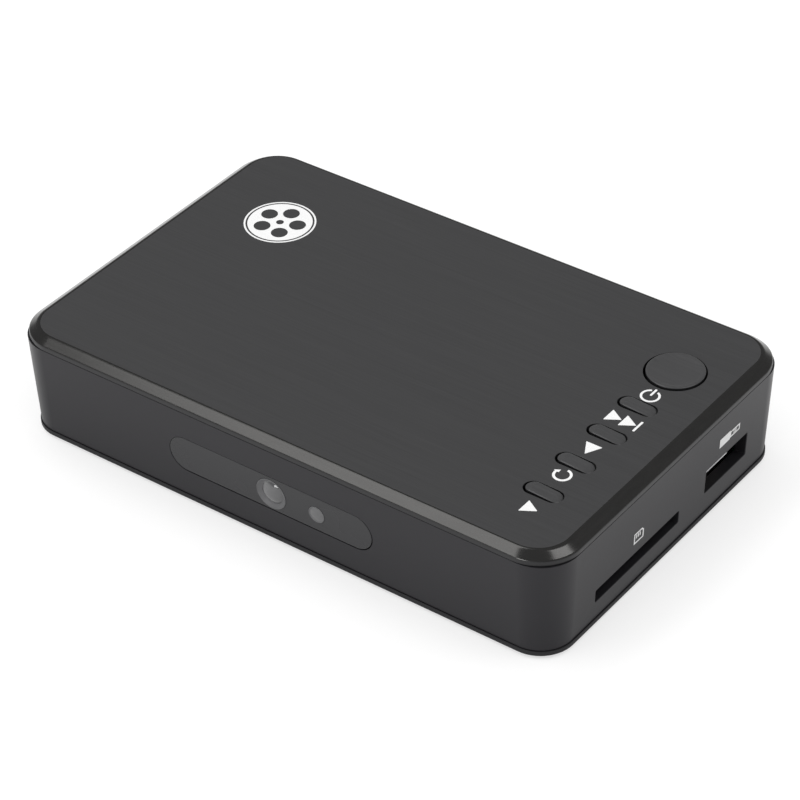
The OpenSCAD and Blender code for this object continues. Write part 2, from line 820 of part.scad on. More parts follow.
module main_board() {
    notch = boss_in + boss_r + 0.5;
    color("#1d6140") difference() {
        translate([(board_x0 + board_x1) / 2, 0, board_z]) linear_extrude(board_t)
            round_rect(board_l, board_w, 1);
        for (s = [-1, 1]) translate([in_l / 2, s * in_w / 2, board_z - over]) linear_extrude(board_t + 2 * over)
            round_rect(2 * notch, 2 * notch, boss_r);
        for (p = board_screws_at) translate([p[0], p[1], board_z - over])
            cylinder(h = board_t + 2 * over, r = small_screw_r + slip);
        usb_legs(fit);
        hdmi_legs(fit);
    }
}

module board_screws() {
    color("#9a9ca0") for (p = board_screws_at) translate([p[0], p[1], board_top]) rotate([180, 0, 0])
        screw(small_screw_r, board_t + standoff_h, small_head_r, small_head_h);
}

module processor() {
    lid = 1.5;
    color("#222224") translate([chip_at[0], chip_at[1], board_top]) {
        block(chip_w, chip_w, chip_h - 0.5);
        block(chip_w - 2 * lid, chip_w - 2 * lid, chip_h);
    }
}

// Extruded heat sink with upright fins
module heat_sink() {
    plate = 1.5;
    fin_t = 1.0;
    pitch = (sink_w - fin_t) / (sink_fins - 1);
    color("#7d8084") translate([chip_at[0], chip_at[1], board_top + chip_h]) {
        block(sink_w, sink_w, plate);
        for (i = [0:sink_fins - 1]) translate([(fin_t - sink_w) / 2 + i * pitch, 0, 0])
            block(fin_t, sink_w, sink_h);
    }
}

// A flat chip with rows of legs along its two long sides
module legged_chip(l, w, legs) {
    leg_w = 0.3;
    leg_l = 0.8;
    leg_t = 0.4;
    pitch = (l - 2) / (legs - 1);
    color("#232325") block(l, w, legged_h);
    color("#c2c4c8") for (i = [0:legs - 1], s = [-1, 1])
        translate([(i - (legs - 1) / 2) * pitch, s * (w + leg_l) / 2, 0]) block(leg_w, leg_l, leg_t);
}

module memory_chips() {
    x = chip_at[0] - (sink_w + memory_l) / 2 - part_gap;
    for (s = [-1, 1]) translate([x, chip_at[1] + s * memory_step / 2, board_top])
        legged_chip(memory_l, memory_w, 8);
}

module flash_chip() {
    translate([chip_at[0], front_row_y, board_top]) legged_chip(flash_l, flash_w, 12);
}

// Quartz in its pressed can, with the foot's rim round it
module crystal() {
    rim = 0.5;
    x = chip_at[0] + (sink_w + crystal_l) / 2 + part_gap;
    color("#c9cbce") translate([x, front_row_y, board_top]) {
        linear_extrude(rim) obround(crystal_l, crystal_w);
        linear_extrude(crystal_h) obround(crystal_l - 2 * rim, crystal_w - 2 * rim);
    }
}

// Can capacitor with a crimped waist and a square foot
module can(r, h) {
    foot_h = 0.6;
    groove = 0.25;
    color("#1c1c1e") block(2 * r + 0.5, 2 * r + 0.5, foot_h);
    color("#b4b7bb") translate([0, 0, foot_h]) rotate_extrude()
        polygon([[0, 0], [r, 0], [r, 0.8], [r - groove, 1.1], [r - groove, 1.3], [r, 1.6],
                 [r, h - 0.3], [r - 0.3, h], [0, h]]);
}

// Two large cans behind the power socket and a small one beside them
module capacitors() {
    step = 2 * can_r + part_gap;
    for (i = [0, 1]) translate([dc_x + i * step, can_y, board_top]) can(can_r, can_h);
    translate([dc_x + step + can_r + small_can_r + part_gap, can_y, board_top]) can(small_can_r, small_can_h);
}

// Drum core with square flanges
module power_coil() {
    flange = coil_h / 4;
    corner = 0.8;
    y = can_y - can_r - part_gap - coil_w / 2;
    color("#3a3a3e") translate([board_x0 + coil_w / 2 + part_gap / 2, y, board_top]) {
        linear_extrude(flange) round_rect(coil_w, coil_w, corner);
        cylinder(h = coil_h, r = coil_w * 0.37);
        translate([0, 0, coil_h - flange]) linear_extrude(flange) round_rect(coil_w, coil_w, corner);
    }
}

// Rows of small surface parts between the processor and the sockets
module chip_resistors() {
    color("#8f8677") translate([chip_at[0], chip_at[1] + sink_w / 2 + 2, board_top])
        for (row = [0:2], i = [-1:4]) translate([smd_step_x * i, smd_step_y * row, 0])
            block(smd_l, smd_w, 0.6);
}

// ---------- card socket ----------

contact_pitch = 2.4;
finger_x = 3.4;
finger_l = 5;
finger_w = 0.9;

// Moulded tray of the card socket: floor, two rails and a rear wall
module sd_socket() {
    rail = (sd_body_w - card_w) / 2 - fit;
    back = 2.2;
    slot_w = finger_w + 2 * slip;
    color("#1d1d1f") translate([sd_x0, sd_y, board_top]) difference() {
        translate([0, -sd_body_w / 2, 0]) cube([sd_body_l, sd_body_w, sd_body_h - sheet_t]);
        translate([back, -sd_body_w / 2 + rail, sd_floor]) cube([sd_body_l, sd_body_w - 2 * rail, sd_body_h]);
        for (i = [-4:4]) translate([finger_x - slip, i * contact_pitch - slot_w / 2, -over])
            cube([finger_l + 1, slot_w, sd_body_h + over]);
    }
}

// Pressed cover over the tray, with two lightening windows
module sd_shield() {
    color("#b9bcc0") translate([sd_x0, sd_y, board_top]) difference() {
        translate([0, -sd_body_w / 2 - sheet_t, 0]) cube([sd_body_l - 1, sd_body_w + 2 * sheet_t, sd_body_h]);
        translate([-over, -sd_body_w / 2, -over])
            cube([sd_body_l + 2 * over, sd_body_w, sd_body_h + over - sheet_t]);
        for (s = [-1, 1]) translate([sd_body_l * 0.55, s * sd_body_w / 4, 0])
            linear_extrude(sd_body_h + over) round_rect(sd_body_l / 3, sd_body_w / 4, 1);
    }
}

// Nine spring fingers that rise from the tray's slots
module sd_contacts() {
    color("#c9a552") translate([sd_x0 + finger_x, sd_y, board_top]) for (i = [-4:4])
        translate([0, i * contact_pitch, 0]) rotate([90, 0, 0]) linear_extrude(finger_w, center = true)
            polygon([[0, 0], [1.2, 0], [finger_l, 0.7], [finger_l, 0.9], [1.1, 0.25], [0, 0.25]]);
}

// ---------- plug socket ----------

usb_x1 = socket_mouth_x;
usb_x0 = usb_x1 - usb_l;
usb_back = 3;
usb_tongue_z = 0.2;
usb_pitch = 2.25;

// Folded shell, with a short lip over half its mouth that shows in the wall's hole
module usb_shell() {
    lip_x = case_l / 2 - wall_in(usb_z);
    color("#b9bcc0") {
        translate([usb_x0, usb_y, usb_z]) difference() {
            translate([0, -usb_w / 2, -usb_h / 2]) cube([usb_l, usb_w, usb_h]);
            translate([sheet_t, -usb_w / 2 + sheet_t, -usb_h / 2 + sheet_t])
                cube([usb_l, usb_w - 2 * sheet_t, usb_h - 2 * sheet_t]);
            for (s = [-1, 1]) translate([usb_l * 0.35, s * usb_w / 4 - 1, 0]) cube([5, 2, usb_h]);
        }
        translate([usb_x1 - 0.5, usb_y - usb_open_w / 2 + fit, usb_z + usb_open_h / 2 - usb_lip])
            cube([lip_x - usb_x1 + 0.5, usb_open_w / 2 - fit, usb_lip - fit / 2]);
        translate([usb_x1 - 0.5, usb_y - usb_w / 2 + sheet_t, usb_z + usb_open_h / 2 - usb_lip])
            cube([0.5, usb_open_w / 2, usb_h / 2 - usb_open_h / 2 + usb_lip]);
        usb_legs(0);
    }
}

// Legs of the shell, which pass through slots in the main board
module usb_legs(grow) {
    for (s = [-1, 1]) translate([usb_x0 + 3, usb_y + s * (usb_w - sheet_t) / 2, board_z - leg_end])
        block(2 + 2 * grow, sheet_t + 2 * grow, usb_z - usb_h / 2 + sheet_t - board_z + leg_end);
}

// Moulded block at the back of the shell and the tongue that carries the contacts
module usb_tongue() {
    tongue_w = 11.1;
    tongue_t = 1.9;
    inner_w = usb_w - 2 * sheet_t - fit;
    inner_h = usb_h - 2 * sheet_t - fit;
    pad_l = 8;
    color("#e6e3d8") {
        translate([usb_x0 + sheet_t + (usb_back + fit) / 2, usb_y, usb_z - inner_h / 2])
            block(usb_back, inner_w, inner_h);
        translate([usb_x0 + sheet_t + usb_back, usb_y - tongue_w / 2, usb_z + usb_tongue_z])
            cube([usb_l - sheet_t - usb_back - tongue_back, tongue_w, tongue_t]);
        translate([usb_x0 + pad_l / 2 + 1, usb_y, board_top]) block(pad_l, tongue_w - 1, usb_lift);
    }
}

module usb_contacts() {
    strip_t = 0.2;
    strip_w = 1;
    strip_l = usb_l - usb_back - sheet_t - tongue_back - 0.8;
    color("#c9a552") for (i = [-1.5:1.5])
        translate([usb_x0 + sheet_t + usb_back + fit, usb_y + i * usb_pitch, usb_z + usb_tongue_z - strip_t])
            translate([0, -strip_w / 2, 0]) cube([strip_l, strip_w, strip_t]);
}

// ---------- rear sockets ----------

// Outline of the video plug, with its two lower corners cut off
module hdmi_outline(grow) {
    w = hdmi_w / 2 + grow;
    h = hdmi_h / 2 + grow;
    cut = 1.5;
    polygon([[-w, h], [w, h], [w, -h + 1.2 * cut], [w - cut, -h], [-w + cut, -h], [-w, -h + 1.2 * cut]]);
}

module hdmi_shell() {
    color("#b9bcc0") {
        translate([hdmi_x, socket_mouth_y, hdmi_z]) rotate([90, 0, 0]) difference() {
            linear_extrude(hdmi_l) hdmi_outline(sheet_t);
            translate([0, 0, -over]) linear_extrude(hdmi_l + over - sheet_t) hdmi_outline(0);
        }
        hdmi_legs(0);
    }
}

module hdmi_legs(grow) {
    leg_y = socket_mouth_y - hdmi_l / 2;
    for (s = [-1, 1]) translate([hdmi_x + s * (hdmi_w + sheet_t) / 2, leg_y, board_z - leg_end])
        block(sheet_t + 2 * grow, 2 + 2 * grow, hdmi_z - board_z + leg_end);
}

// Back block, tongue and the pad that lifts the shell off the board
module hdmi_tongue() {
    tongue_w = 11.2;
    tongue_t = 1.6;
    color("#1c1c1e") translate([hdmi_x, socket_mouth_y, hdmi_z]) rotate([90, 0, 0]) {
        translate([0, 0, hdmi_l - sheet_t - hdmi_back - fit]) linear_extrude(hdmi_back) hdmi_outline(-fit / 2);
        translate([-tongue_w / 2, -0.2, hdmi_mouth])
            cube([tongue_w, tongue_t, hdmi_l - sheet_t - hdmi_back - hdmi_mouth]);
    }
    color("#1c1c1e") translate([hdmi_x, socket_mouth_y - hdmi_l / 2, board_top])
        block(tongue_w - 1, hdmi_l - 2, hdmi_z - hdmi_h / 2 - sheet_t - board_top);
}

module hdmi_contacts() {
    strip_l = hdmi_l - sheet_t - hdmi_back - hdmi_mouth - 1;
    strip_w = 0.5;
    strip_t = 0.2;
    pitch = 1.1;
    color("#c9a552") for (i = [-4:4])
        translate([hdmi_x + i * pitch, socket_mouth_y - hdmi_mouth - 0.5 - strip_l / 2, hdmi_z - 0.2 - strip_t])
            block(strip_w, strip_l, strip_t);
}

// Sound socket: moulded block, round nose in the wall's hole, and its bore
module av_jack() {
    body_l = av_l - av_nose_l + 1.5;
    color("#1a1a1c") difference() {
        union() {
            translate([av_x, socket_mouth_y - body_l / 2, board_top]) block(av_body_w, body_l, av_body_h);
            translate([av_x, socket_mouth_y - over, av_z]) rotate([-90, 0, 0])
                cylinder(h = av_nose_l + over, r = av_nose_r);
        }
        translate([av_x, socket_mouth_y + av_nose_l - av_l, av_z]) rotate([-90, 0, 0])
            cylinder(h = av_l + over, r = av_r);
    }
}

// Power socket: square foot with a round barrel on it, open to the rear
module dc_jack() {
    barrel_r = dc_body_w / 2;
    color("#1a1a1c") difference() {
        union() {
            translate([dc_x, socket_mouth_y - dc_body_l / 2, board_top])
                block(dc_body_w, dc_body_l, dc_z - board_top);
            translate([dc_x, socket_mouth_y, dc_z]) rotate([90, 0, 0]) cylinder(h = dc_body_l, r = barrel_r);
            translate([dc_x, socket_mouth_y - dc_front_t / 2, board_top])
                block(dc_body_w, dc_front_t, dc_z + barrel_r - board_top);
        }
        translate([dc_x, socket_mouth_y - dc_depth, dc_z]) rotate([-90, 0, 0])
            cylinder(h = dc_depth + over, r = dc_r);
    }
}

module dc_pin() {
    pin_l = dc_depth - 1.2;
    color("#c2c4c8") translate([dc_x, socket_mouth_y - dc_depth, dc_z]) rotate([-90, 0, 0]) {
        cylinder(h = pin_l - dc_pin_r / 2, r = dc_pin_r);
        translate([0, 0, pin_l - dc_pin_r / 2]) cylinder(h = dc_pin_r / 2, r1 = dc_pin_r, r2 = dc_pin_r / 2);
        cylinder(h = 0.6, r = dc_r - 0.6);
    }
}

top_cover();
body_shell();
base_cover();
foot_front_left();
foot_front_right();
foot_rear_left();
foot_rear_right();
case_screws();
ir_window();
ir_lens();
led_lens();
ir_receiver();
status_led();
power_button();
next_button();
down_button();
return_button();
play_button();
power_plunger();
next_plunger();
down_plunger();
return_plunger();
play_plunger();
power_switch();
next_switch();
down_switch();
return_switch();
play_switch();
key_board();
key_board_screws();
key_ribbon();
ribbon_connectors();
main_board();
board_screws();
processor();
heat_sink();
memory_chips();
flash_chip();
crystal();
capacitors();
power_coil();
chip_resistors();
sd_socket();
sd_shield();
sd_contacts();
usb_shell();
usb_tongue();
usb_contacts();
hdmi_shell();
hdmi_tongue();
hdmi_contacts();
av_jack();
dc_jack();
dc_pin();
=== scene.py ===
"""Small media player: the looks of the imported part, in metres, in the part's own frame.

The long side runs along X with the card slot at +X, the front is -Y, and the feet stand on z = 0.
Sizes are written in millimetres, and MM turns them into metres where a mesh is made.
"""
import math

import bmesh
import bpy
from mathutils import Matrix, Vector


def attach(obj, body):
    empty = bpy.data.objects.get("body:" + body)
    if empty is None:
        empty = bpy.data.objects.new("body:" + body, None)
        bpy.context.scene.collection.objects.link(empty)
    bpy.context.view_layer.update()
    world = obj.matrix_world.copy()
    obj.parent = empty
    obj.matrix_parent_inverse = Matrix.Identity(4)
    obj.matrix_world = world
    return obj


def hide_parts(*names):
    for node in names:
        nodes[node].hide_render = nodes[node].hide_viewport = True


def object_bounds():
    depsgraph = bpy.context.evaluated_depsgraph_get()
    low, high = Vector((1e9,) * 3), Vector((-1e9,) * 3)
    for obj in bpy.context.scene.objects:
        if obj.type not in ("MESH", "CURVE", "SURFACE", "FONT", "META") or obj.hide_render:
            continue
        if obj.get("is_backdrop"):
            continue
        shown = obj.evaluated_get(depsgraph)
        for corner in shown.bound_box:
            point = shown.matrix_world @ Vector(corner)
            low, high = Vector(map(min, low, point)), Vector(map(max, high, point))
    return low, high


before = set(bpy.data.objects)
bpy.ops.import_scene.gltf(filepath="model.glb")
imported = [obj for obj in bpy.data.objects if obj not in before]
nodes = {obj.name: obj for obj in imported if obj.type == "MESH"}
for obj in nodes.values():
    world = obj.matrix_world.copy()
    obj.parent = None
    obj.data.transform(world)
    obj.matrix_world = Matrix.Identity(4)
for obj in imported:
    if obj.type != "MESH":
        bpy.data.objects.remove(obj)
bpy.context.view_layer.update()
MM = 0.001


# ---------- studio ----------
# A white floor under a pale sky that is darker overhead, soft lamps over the front left and the
# rear right, and a low one in front. The camera stands high at the front right, with a long lens.

class Wire:
    """A socket of one finish. Sums and products of wires and numbers add Math nodes."""

    def __init__(self, finish, socket):
        self.finish = finish
        self.socket = socket

    def math(self, operation, *values):
        return self.finish.node("Math", {"operation": operation}, dict(enumerate(values)))

    def __add__(self, other):
        return self.math("ADD", self, other)

    def __sub__(self, other):
        return self.math("SUBTRACT", self, other)

    def __rsub__(self, other):
        return self.math("SUBTRACT", other, self)

    def __mul__(self, other):
        return self.math("MULTIPLY", self, other)

    def __pow__(self, other):
        return self.math("POWER", self, other)

    __radd__ = __add__
    __rmul__ = __mul__

    def between(self, low, high):
        """0 up to low, 1 from high on, and smooth between them."""
        sockets = {"Value": self, "From Min": low, "From Max": high}
        return self.finish.node("MapRange", {"interpolation_type": "SMOOTHSTEP"}, sockets)


class Finish:
    """One material or world, and the nodes that are added to it."""

    def __init__(self, name, world=False):
        self.block = (bpy.data.worlds if world else bpy.data.materials).new(name)
        self.block.use_nodes = True
        self.tree = self.block.node_tree
        self.shader = self.tree.nodes.get("Principled BSDF") or self.tree.nodes.get("Background")
        self.output = self.tree.nodes["World Output" if world else "Material Output"]

    def join(self, socket, value):
        """Sets a socket to a number or colour, or links a wire to it."""
        if isinstance(value, Wire):
            self.tree.links.new(value.socket, socket)
        elif hasattr(socket.default_value, "__len__") and len(socket.default_value) == 4:
            socket.default_value = (*value[:3], 1)
        else:
            socket.default_value = value

    def node(self, kind, settings, sockets, out=0):
        """Adds a shader node: its settings first, then values or wires for its sockets."""
        made = self.tree.nodes.new("ShaderNode" + kind)
        for key, value in settings.items():
            setattr(made, key, value)
        for key, value in sockets.items():
            self.join(made.inputs[key], value)
        return Wire(self, made.outputs[out])

    def place(self, *stretch):
        """The point on the piece in metres, each axis multiplied by its stretch."""
        point = self.node("TexCoord", {}, {}, out="Object")
        if not stretch:
            return point
        return self.node("VectorMath", {"operation": "MULTIPLY"}, {0: point, 1: stretch})

    def noise(self, cells, detail=2.0, rough=0.5):
        """Noise with that many cells in a metre: one number, or one for each axis."""
        stretch = cells if isinstance(cells, tuple) else (cells, cells, cells)
        sockets = {"Vector": self.place(*stretch), "Scale": 1.0, "Detail": detail, "Roughness": rough}
        return self.node("TexNoise", {}, sockets, out="Fac")

    def mix(self, share, low, high):
        """A colour that goes from low to high as share goes from 0 to 1."""
        return self.node("Mix", {"data_type": "RGBA"}, {0: share, 6: low, 7: high}, out=2)

    def bump(self, height, depth_mm):
        """A surface normal from a height of 0 to 1 that stands for depth_mm."""
        sockets = {"Strength": 1.0, "Distance": depth_mm * MM, "Height": height}
        return self.node("Bump", {}, sockets)

    def set(self, **sockets):
        """Sets the main shader's sockets; an underscore stands for a space."""
        for key, value in sockets.items():
            self.join(self.shader.inputs[key.replace("_", " ")], value)
        return self.block


def ray(finish, *kinds):
    """1 for light that is looked up by one of those kinds of ray, and 0 for other light."""
    found = finish.node("LightPath", {}, {}, "Is %s Ray" % kinds[0])
    for kind in kinds[1:]:
        found = found.math("MAXIMUM", found, finish.node("LightPath", {}, {}, "Is %s Ray" % kind))
    return found


FLOOR_SIZE = 8.0
FLOOR_GLOW = 0.56               # what the floor gives off of its white; lamps and sky add the rest
CONTACT_BOX = (0.058, 0.0365)   # half the length and width of the part where it stands
# Painted shade: the floor's glow, as reflections see it, is darkened close to the part as if by its
# contact shadow.
CONTACT_SHADE = 0.40            # what the floor's reflection loses close to the part,
CONTACT_REACH = 0.022           # and how far out from it
SKY_FILL = 0.85                 # light that the sky gives to matt surfaces
SKY_OVERHEAD = 0.26             # brightness of the sky's reflection overhead; 1 at the horizon
SKY_WHITE_TO, SKY_DARK_FROM = 0.0, 0.14     # where it falls, as sines of angles over the horizon

floor_finish = Finish("floor_white")
at_floor = floor_finish.place()
beside = [floor_finish.node("SeparateXYZ", {}, {0: at_floor}, out=axis) for axis in "XY"]
outside = [side.math("MAXIMUM", side.math("ABSOLUTE", side) - reach, 0.0)
           for side, reach in zip(beside, CONTACT_BOX)]
contact = (outside[0] ** 2 + outside[1] ** 2) ** 0.5
# painted shade: the glow that glossy rays see falls off towards the part's foot
gloss_glow_with_painted_shade = ray(floor_finish, "Glossy", "Transmission") * (
    1 - CONTACT_SHADE * (1 - contact.between(0.0, CONTACT_REACH)))
glow = floor_finish.node("Emission", {}, {
    "Color": (1, 1, 1),
    "Strength": FLOOR_GLOW * gloss_glow_with_painted_shade.math("MAXIMUM", gloss_glow_with_painted_shade, ray(floor_finish, "Camera"))})
floor_finish.set(Base_Color=(0.5, 0.5, 0.5), Roughness=1.0, Specular_IOR_Level=0.0)
lit = Wire(floor_finish, floor_finish.shader.outputs[0])
floor_finish.join(floor_finish.output.inputs["Surface"],
                  floor_finish.node("AddShader", {}, {0: glow, 1: lit}))

floor_mesh = bpy.data.meshes.new("floor")
half = FLOOR_SIZE / 2
corners = [(-half, -half, 0), (half, -half, 0), (half, half, 0), (-half, half, 0)]
floor_mesh.from_pydata(corners, [], [(0, 1, 2, 3)])
floor_mesh.materials.append(floor_finish.block)
floor = bpy.data.objects.new("floor", floor_mesh)
bpy.context.scene.collection.objects.link(floor)
floor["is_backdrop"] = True

sky = Finish("studio_sky", world=True)
toward_sky = sky.node("TexCoord", {}, {}, out="Generated")
over_horizon = sky.node("SeparateXYZ", {}, {0: toward_sky}, out="Z")
reflected = 1 - (1 - SKY_OVERHEAD) * over_horizon.between(SKY_WHITE_TO, SKY_DARK_FROM)
straight, in_gloss = ray(sky, "Camera"), ray(sky, "Glossy", "Transmission")
sky.set(Color=(1, 1, 1),
        Strength=straight + in_gloss * reflected + (1 - straight) * (1 - in_gloss) * SKY_FILL)
bpy.context.scene.world = sky.block

LAMP_AWAY = 1.2


def lamp(name, direction, long_way, length, width, brightness):
    """A soft lamp that hangs in that direction from the part and faces it, its length along long_way.

    brightness is how its surface looks, with the sky at the horizon as 1."""
    light = bpy.data.lights.new(name, "AREA")
    light.shape = "RECTANGLE"
    light.size = length
    light.size_y = width
    light.energy = 4 * brightness * length * width
    hung = bpy.data.objects.new(name, light)
    toward = Vector(direction).normalized()
    along = (Vector(long_way) - toward * toward.dot(long_way)).normalized()
    hung.matrix_world = Matrix.Translation(toward * LAMP_AWAY) @ Matrix(
        (along, toward.cross(along), toward)).transposed().to_4x4()
    hung.visible_camera = False
    bpy.context.scene.collection.objects.link(hung)


lamp("lamp_front_left", (-0.43, -0.37, 0.82), (0, 1, 0.45), 1.72, 0.40, 1.42)
lamp("lamp_rear_right", (0.495, 0.18, 0.85), (0.113, 0.555, -0.185), 0.62, 0.28, 1.9)
lamp("lamp_front", (-0.02, -0.98, 0.22), (1, 0, 0), 0.42, 0.26, 6.0)

LENS_MM = 140.12
CAMERA_AT = (0.27251, -0.35872, 0.34792)
CAMERA_RIGHT = (0.805376, 0.592438, -0.019679)
CAMERA_UP = (-0.344126, 0.494330, 0.798258)
CAMERA_BACK = (0.482646, -0.636125, 0.601995)

camera_data = bpy.data.cameras.new("camera")
camera_data.sensor_width = 36
camera_data.lens = LENS_MM
camera_data.clip_start = 0.01
camera = bpy.data.objects.new("camera", camera_data)
camera.matrix_world = Matrix.Translation(CAMERA_AT) @ Matrix(
    (CAMERA_RIGHT, CAMERA_UP, CAMERA_BACK)).transposed().to_4x4()
bpy.context.scene.collection.objects.link(camera)
bpy.context.scene.camera = camera
bpy.context.scene.view_settings.view_transform = "Standard"


# ---------- base cover, feet and case screws ----------
# A black moulded cover closes the case from below: vent slots, ribs and screw wells are moulded in.
# Four rubber feet are glued into its pockets, and four pan head screws draw it up to the case.

def dress(finish, *names):
    """Gives CAD nodes that finish."""
    for name in names:
        for slot in nodes[name].material_slots:
            slot.material = finish


BASE_EDGE, TOE_EDGE = 0.06, 0.20        # radius of the cover's edges, and of the lower outer one
ROUNDED_FROM = 40                       # sharpest angle between faces that stays as it is, in degrees
BASE_Z = 0.6
TOE_L, TOE_W, TOE_R = 116.6, 73.6, 6.7
NEAR_Z, NEAR_TOE = 0.02, 0.05           # how close to the toe a point lies that belongs to it


def toe(vert):
    """True for a point on the cover's lower outer edge, which is rounded off the most."""
    out_x = max(abs(vert.co.x) / MM - (TOE_L / 2 - TOE_R), 0)
    out_y = max(abs(vert.co.y) / MM - (TOE_W / 2 - TOE_R), 0)
    return abs(vert.co.z / MM - BASE_Z) < NEAR_Z and math.hypot(out_x, out_y) > TOE_R - NEAR_TOE


def eased_cover(finish):
    """The base cover's mesh with its edges rounded off: a little, and more along the toe."""
    mesh = nodes["base_cover"].data.copy()
    skin = bmesh.new()
    skin.from_mesh(mesh)
    bmesh.ops.remove_doubles(skin, verts=skin.verts, dist=1e-6)
    bmesh.ops.dissolve_limit(skin, angle_limit=math.radians(0.5), verts=skin.verts, edges=skin.edges)
    share = skin.edges.layers.float.new("bevel_weight_edge")
    for edge in skin.edges:
        if edge.is_manifold and edge.calc_face_angle(0) > math.radians(ROUNDED_FROM):
            edge[share] = 1.0 if toe(edge.verts[0]) and toe(edge.verts[1]) else BASE_EDGE / TOE_EDGE
    skin.to_mesh(mesh)
    skin.free()
    piece = bpy.data.objects.new("base_cover_piece", mesh)
    bpy.context.scene.collection.objects.link(piece)
    round_off = piece.modifiers.new("edges", "BEVEL")
    round_off.width = TOE_EDGE * MM
    round_off.segments = 3
    round_off.limit_method = "WEIGHT"
    round_off.use_clamp_overlap = False
    return settle(piece, [finish], "base_plastic", "case", "base_cover")


SHARP_FROM = 42     # degrees between faces from which an edge looks sharp


def settle(piece, finishes, slot, body, *stands_for):
    """Smooths the shading of a finished mesh, gives it its finishes and puts it on its body."""
    mesh = piece.data
    if mesh.materials:
        mesh.materials.clear()
    for finish in finishes:
        mesh.materials.append(finish)
    for face in mesh.polygons:
        face.use_smooth = True
    mesh.set_sharp_from_angle(angle=math.radians(SHARP_FROM))
    even = piece.modifiers.new("even_normals", "WEIGHTED_NORMAL")
    even.keep_sharp = True
    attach(piece, body)
    if stands_for:
        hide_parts(*stands_for)
    return piece


base_finish = Finish("base_black")
pebble = base_finish.noise(2600)
patches = base_finish.noise(60)
base_black = base_finish.set(
    Base_Color=base_finish.mix(patches, (0.0125, 0.0122, 0.0136), (0.0165, 0.0161, 0.0178)),
    Roughness=0.45 + 0.12 * pebble,
    Specular_IOR_Level=0.3,
    Normal=base_finish.bump(pebble, 0.02))
eased_cover(base_black)

rubber_finish = Finish("foot_black")
rub = rubber_finish.noise(1500, detail=3)
foot_black = rubber_finish.set(
    Base_Color=rubber_finish.mix(rub, (0.012, 0.012, 0.012), (0.022, 0.022, 0.021)),
    Roughness=0.75 + 0.15 * rub,
    Normal=rubber_finish.bump(rub, 0.03))
dress(foot_black, "foot_front_left", "foot_front_right", "foot_rear_left", "foot_rear_right")

steel_finish = Finish("zinc_steel")
rolled = steel_finish.noise(900, detail=3)
zinc_steel = steel_finish.set(
    Base_Color=steel_finish.mix(rolled, (0.42, 0.43, 0.44), (0.60, 0.61, 0.62)),
    Metallic=1.0,
    Roughness=0.22 + 0.2 * rolled,
    Normal=steel_finish.bump(rolled, 0.004))
dress(zinc_steel, "case_screws", "key_board_screws", "board_screws")


# ---------- body shell ----------
# One moulding in satin black: four walls that lean in towards the foot, a deck, and the openings
# for the window, the card, the plug and the rear sockets. Bosses hang from the deck inside.

CASE_L, CASE_W = 118.0, 75.0
CORNER_R, PLATE_CORNER_R = 7.4, 8.2
WALL_DRAFT = 0.9                        # how far the walls lean in from WALL_TOP_Z to WALL_FOOT_Z
WALL_FOOT_Z, WALL_TOP_Z = 1.9, 20.3
WALL_LOWER = 0.23                       # the walls end this much lower and leave a narrow groove
GROOVE_IN = 3.4
FOOT_EASE, SHOULDER_EASE = 0.08, 0.06   # rounding of the walls' lower and upper edges
LIP_Z, DECK_Z = 20.6, 19.0
SEAM_IN, SEAM_Z = 0.6, 20.45            # depth of the shadow gap under the plate's lip, and its floor
CAVITY_L, CAVITY_W, CAVITY_R = 112.2, 69.2, 4.5
STEPS = 16          # faces round a quarter of a case corner
WALL_TILT = math.atan(WALL_DRAFT / (WALL_TOP_Z - WALL_FOOT_Z))


def round_rect(length, width, radius, steps=STEPS):
    """Outline of a rectangle with round corners, anticlockwise from its +X side."""
    points = []
    for quarter, (sx, sy) in enumerate(((1, 1), (-1, 1), (-1, -1), (1, -1))):
        for step in range(steps + 1):
            angle = math.radians(90 * (quarter + step / steps))
            points.append((sx * (length / 2 - radius) + radius * math.cos(angle),
                           sy * (width / 2 - radius) + radius * math.sin(angle)))
    return points


def obround(length, width, steps=STEPS):
    """Outline of a slot with round ends along X; a circle where length and width are equal."""
    points = []
    for side, start in ((1, -90), (-1, 90)):
        for step in range(2 * steps + 1):
            angle = math.radians(start + 90 * step / steps)
            points.append((side * (length - width) / 2 + width / 2 * math.cos(angle),
                           width / 2 * math.sin(angle)))
    return points


def circle(radius, steps=STEPS):
    """Points round a circle."""
    turn = 2 * math.pi / (4 * steps)
    return [(radius * math.cos(turn * k), radius * math.sin(turn * k)) for k in range(4 * steps)]


def eased(profile, steps=3):
    """A profile of (inset, z, ease) points with each corner rounded off over its ease."""
    line = []
    for i, (inset, z, ease) in enumerate(profile):
        if not ease:
            line.append((inset, z))
            continue
        here = Vector((inset, z))
        ends = []
        for other in (profile[i - 1], profile[(i + 1) % len(profile)]):
            way = Vector(other[:2]) - here
            ends.append(here + way.normalized() * min(ease, way.length / 2))
        for step in range(steps + 1):
            t = step / steps
            point = ends[0] * (1 - t) ** 2 + here * 2 * t * (1 - t) + ends[1] * t ** 2
            line.append((point.x, point.y))
    return line


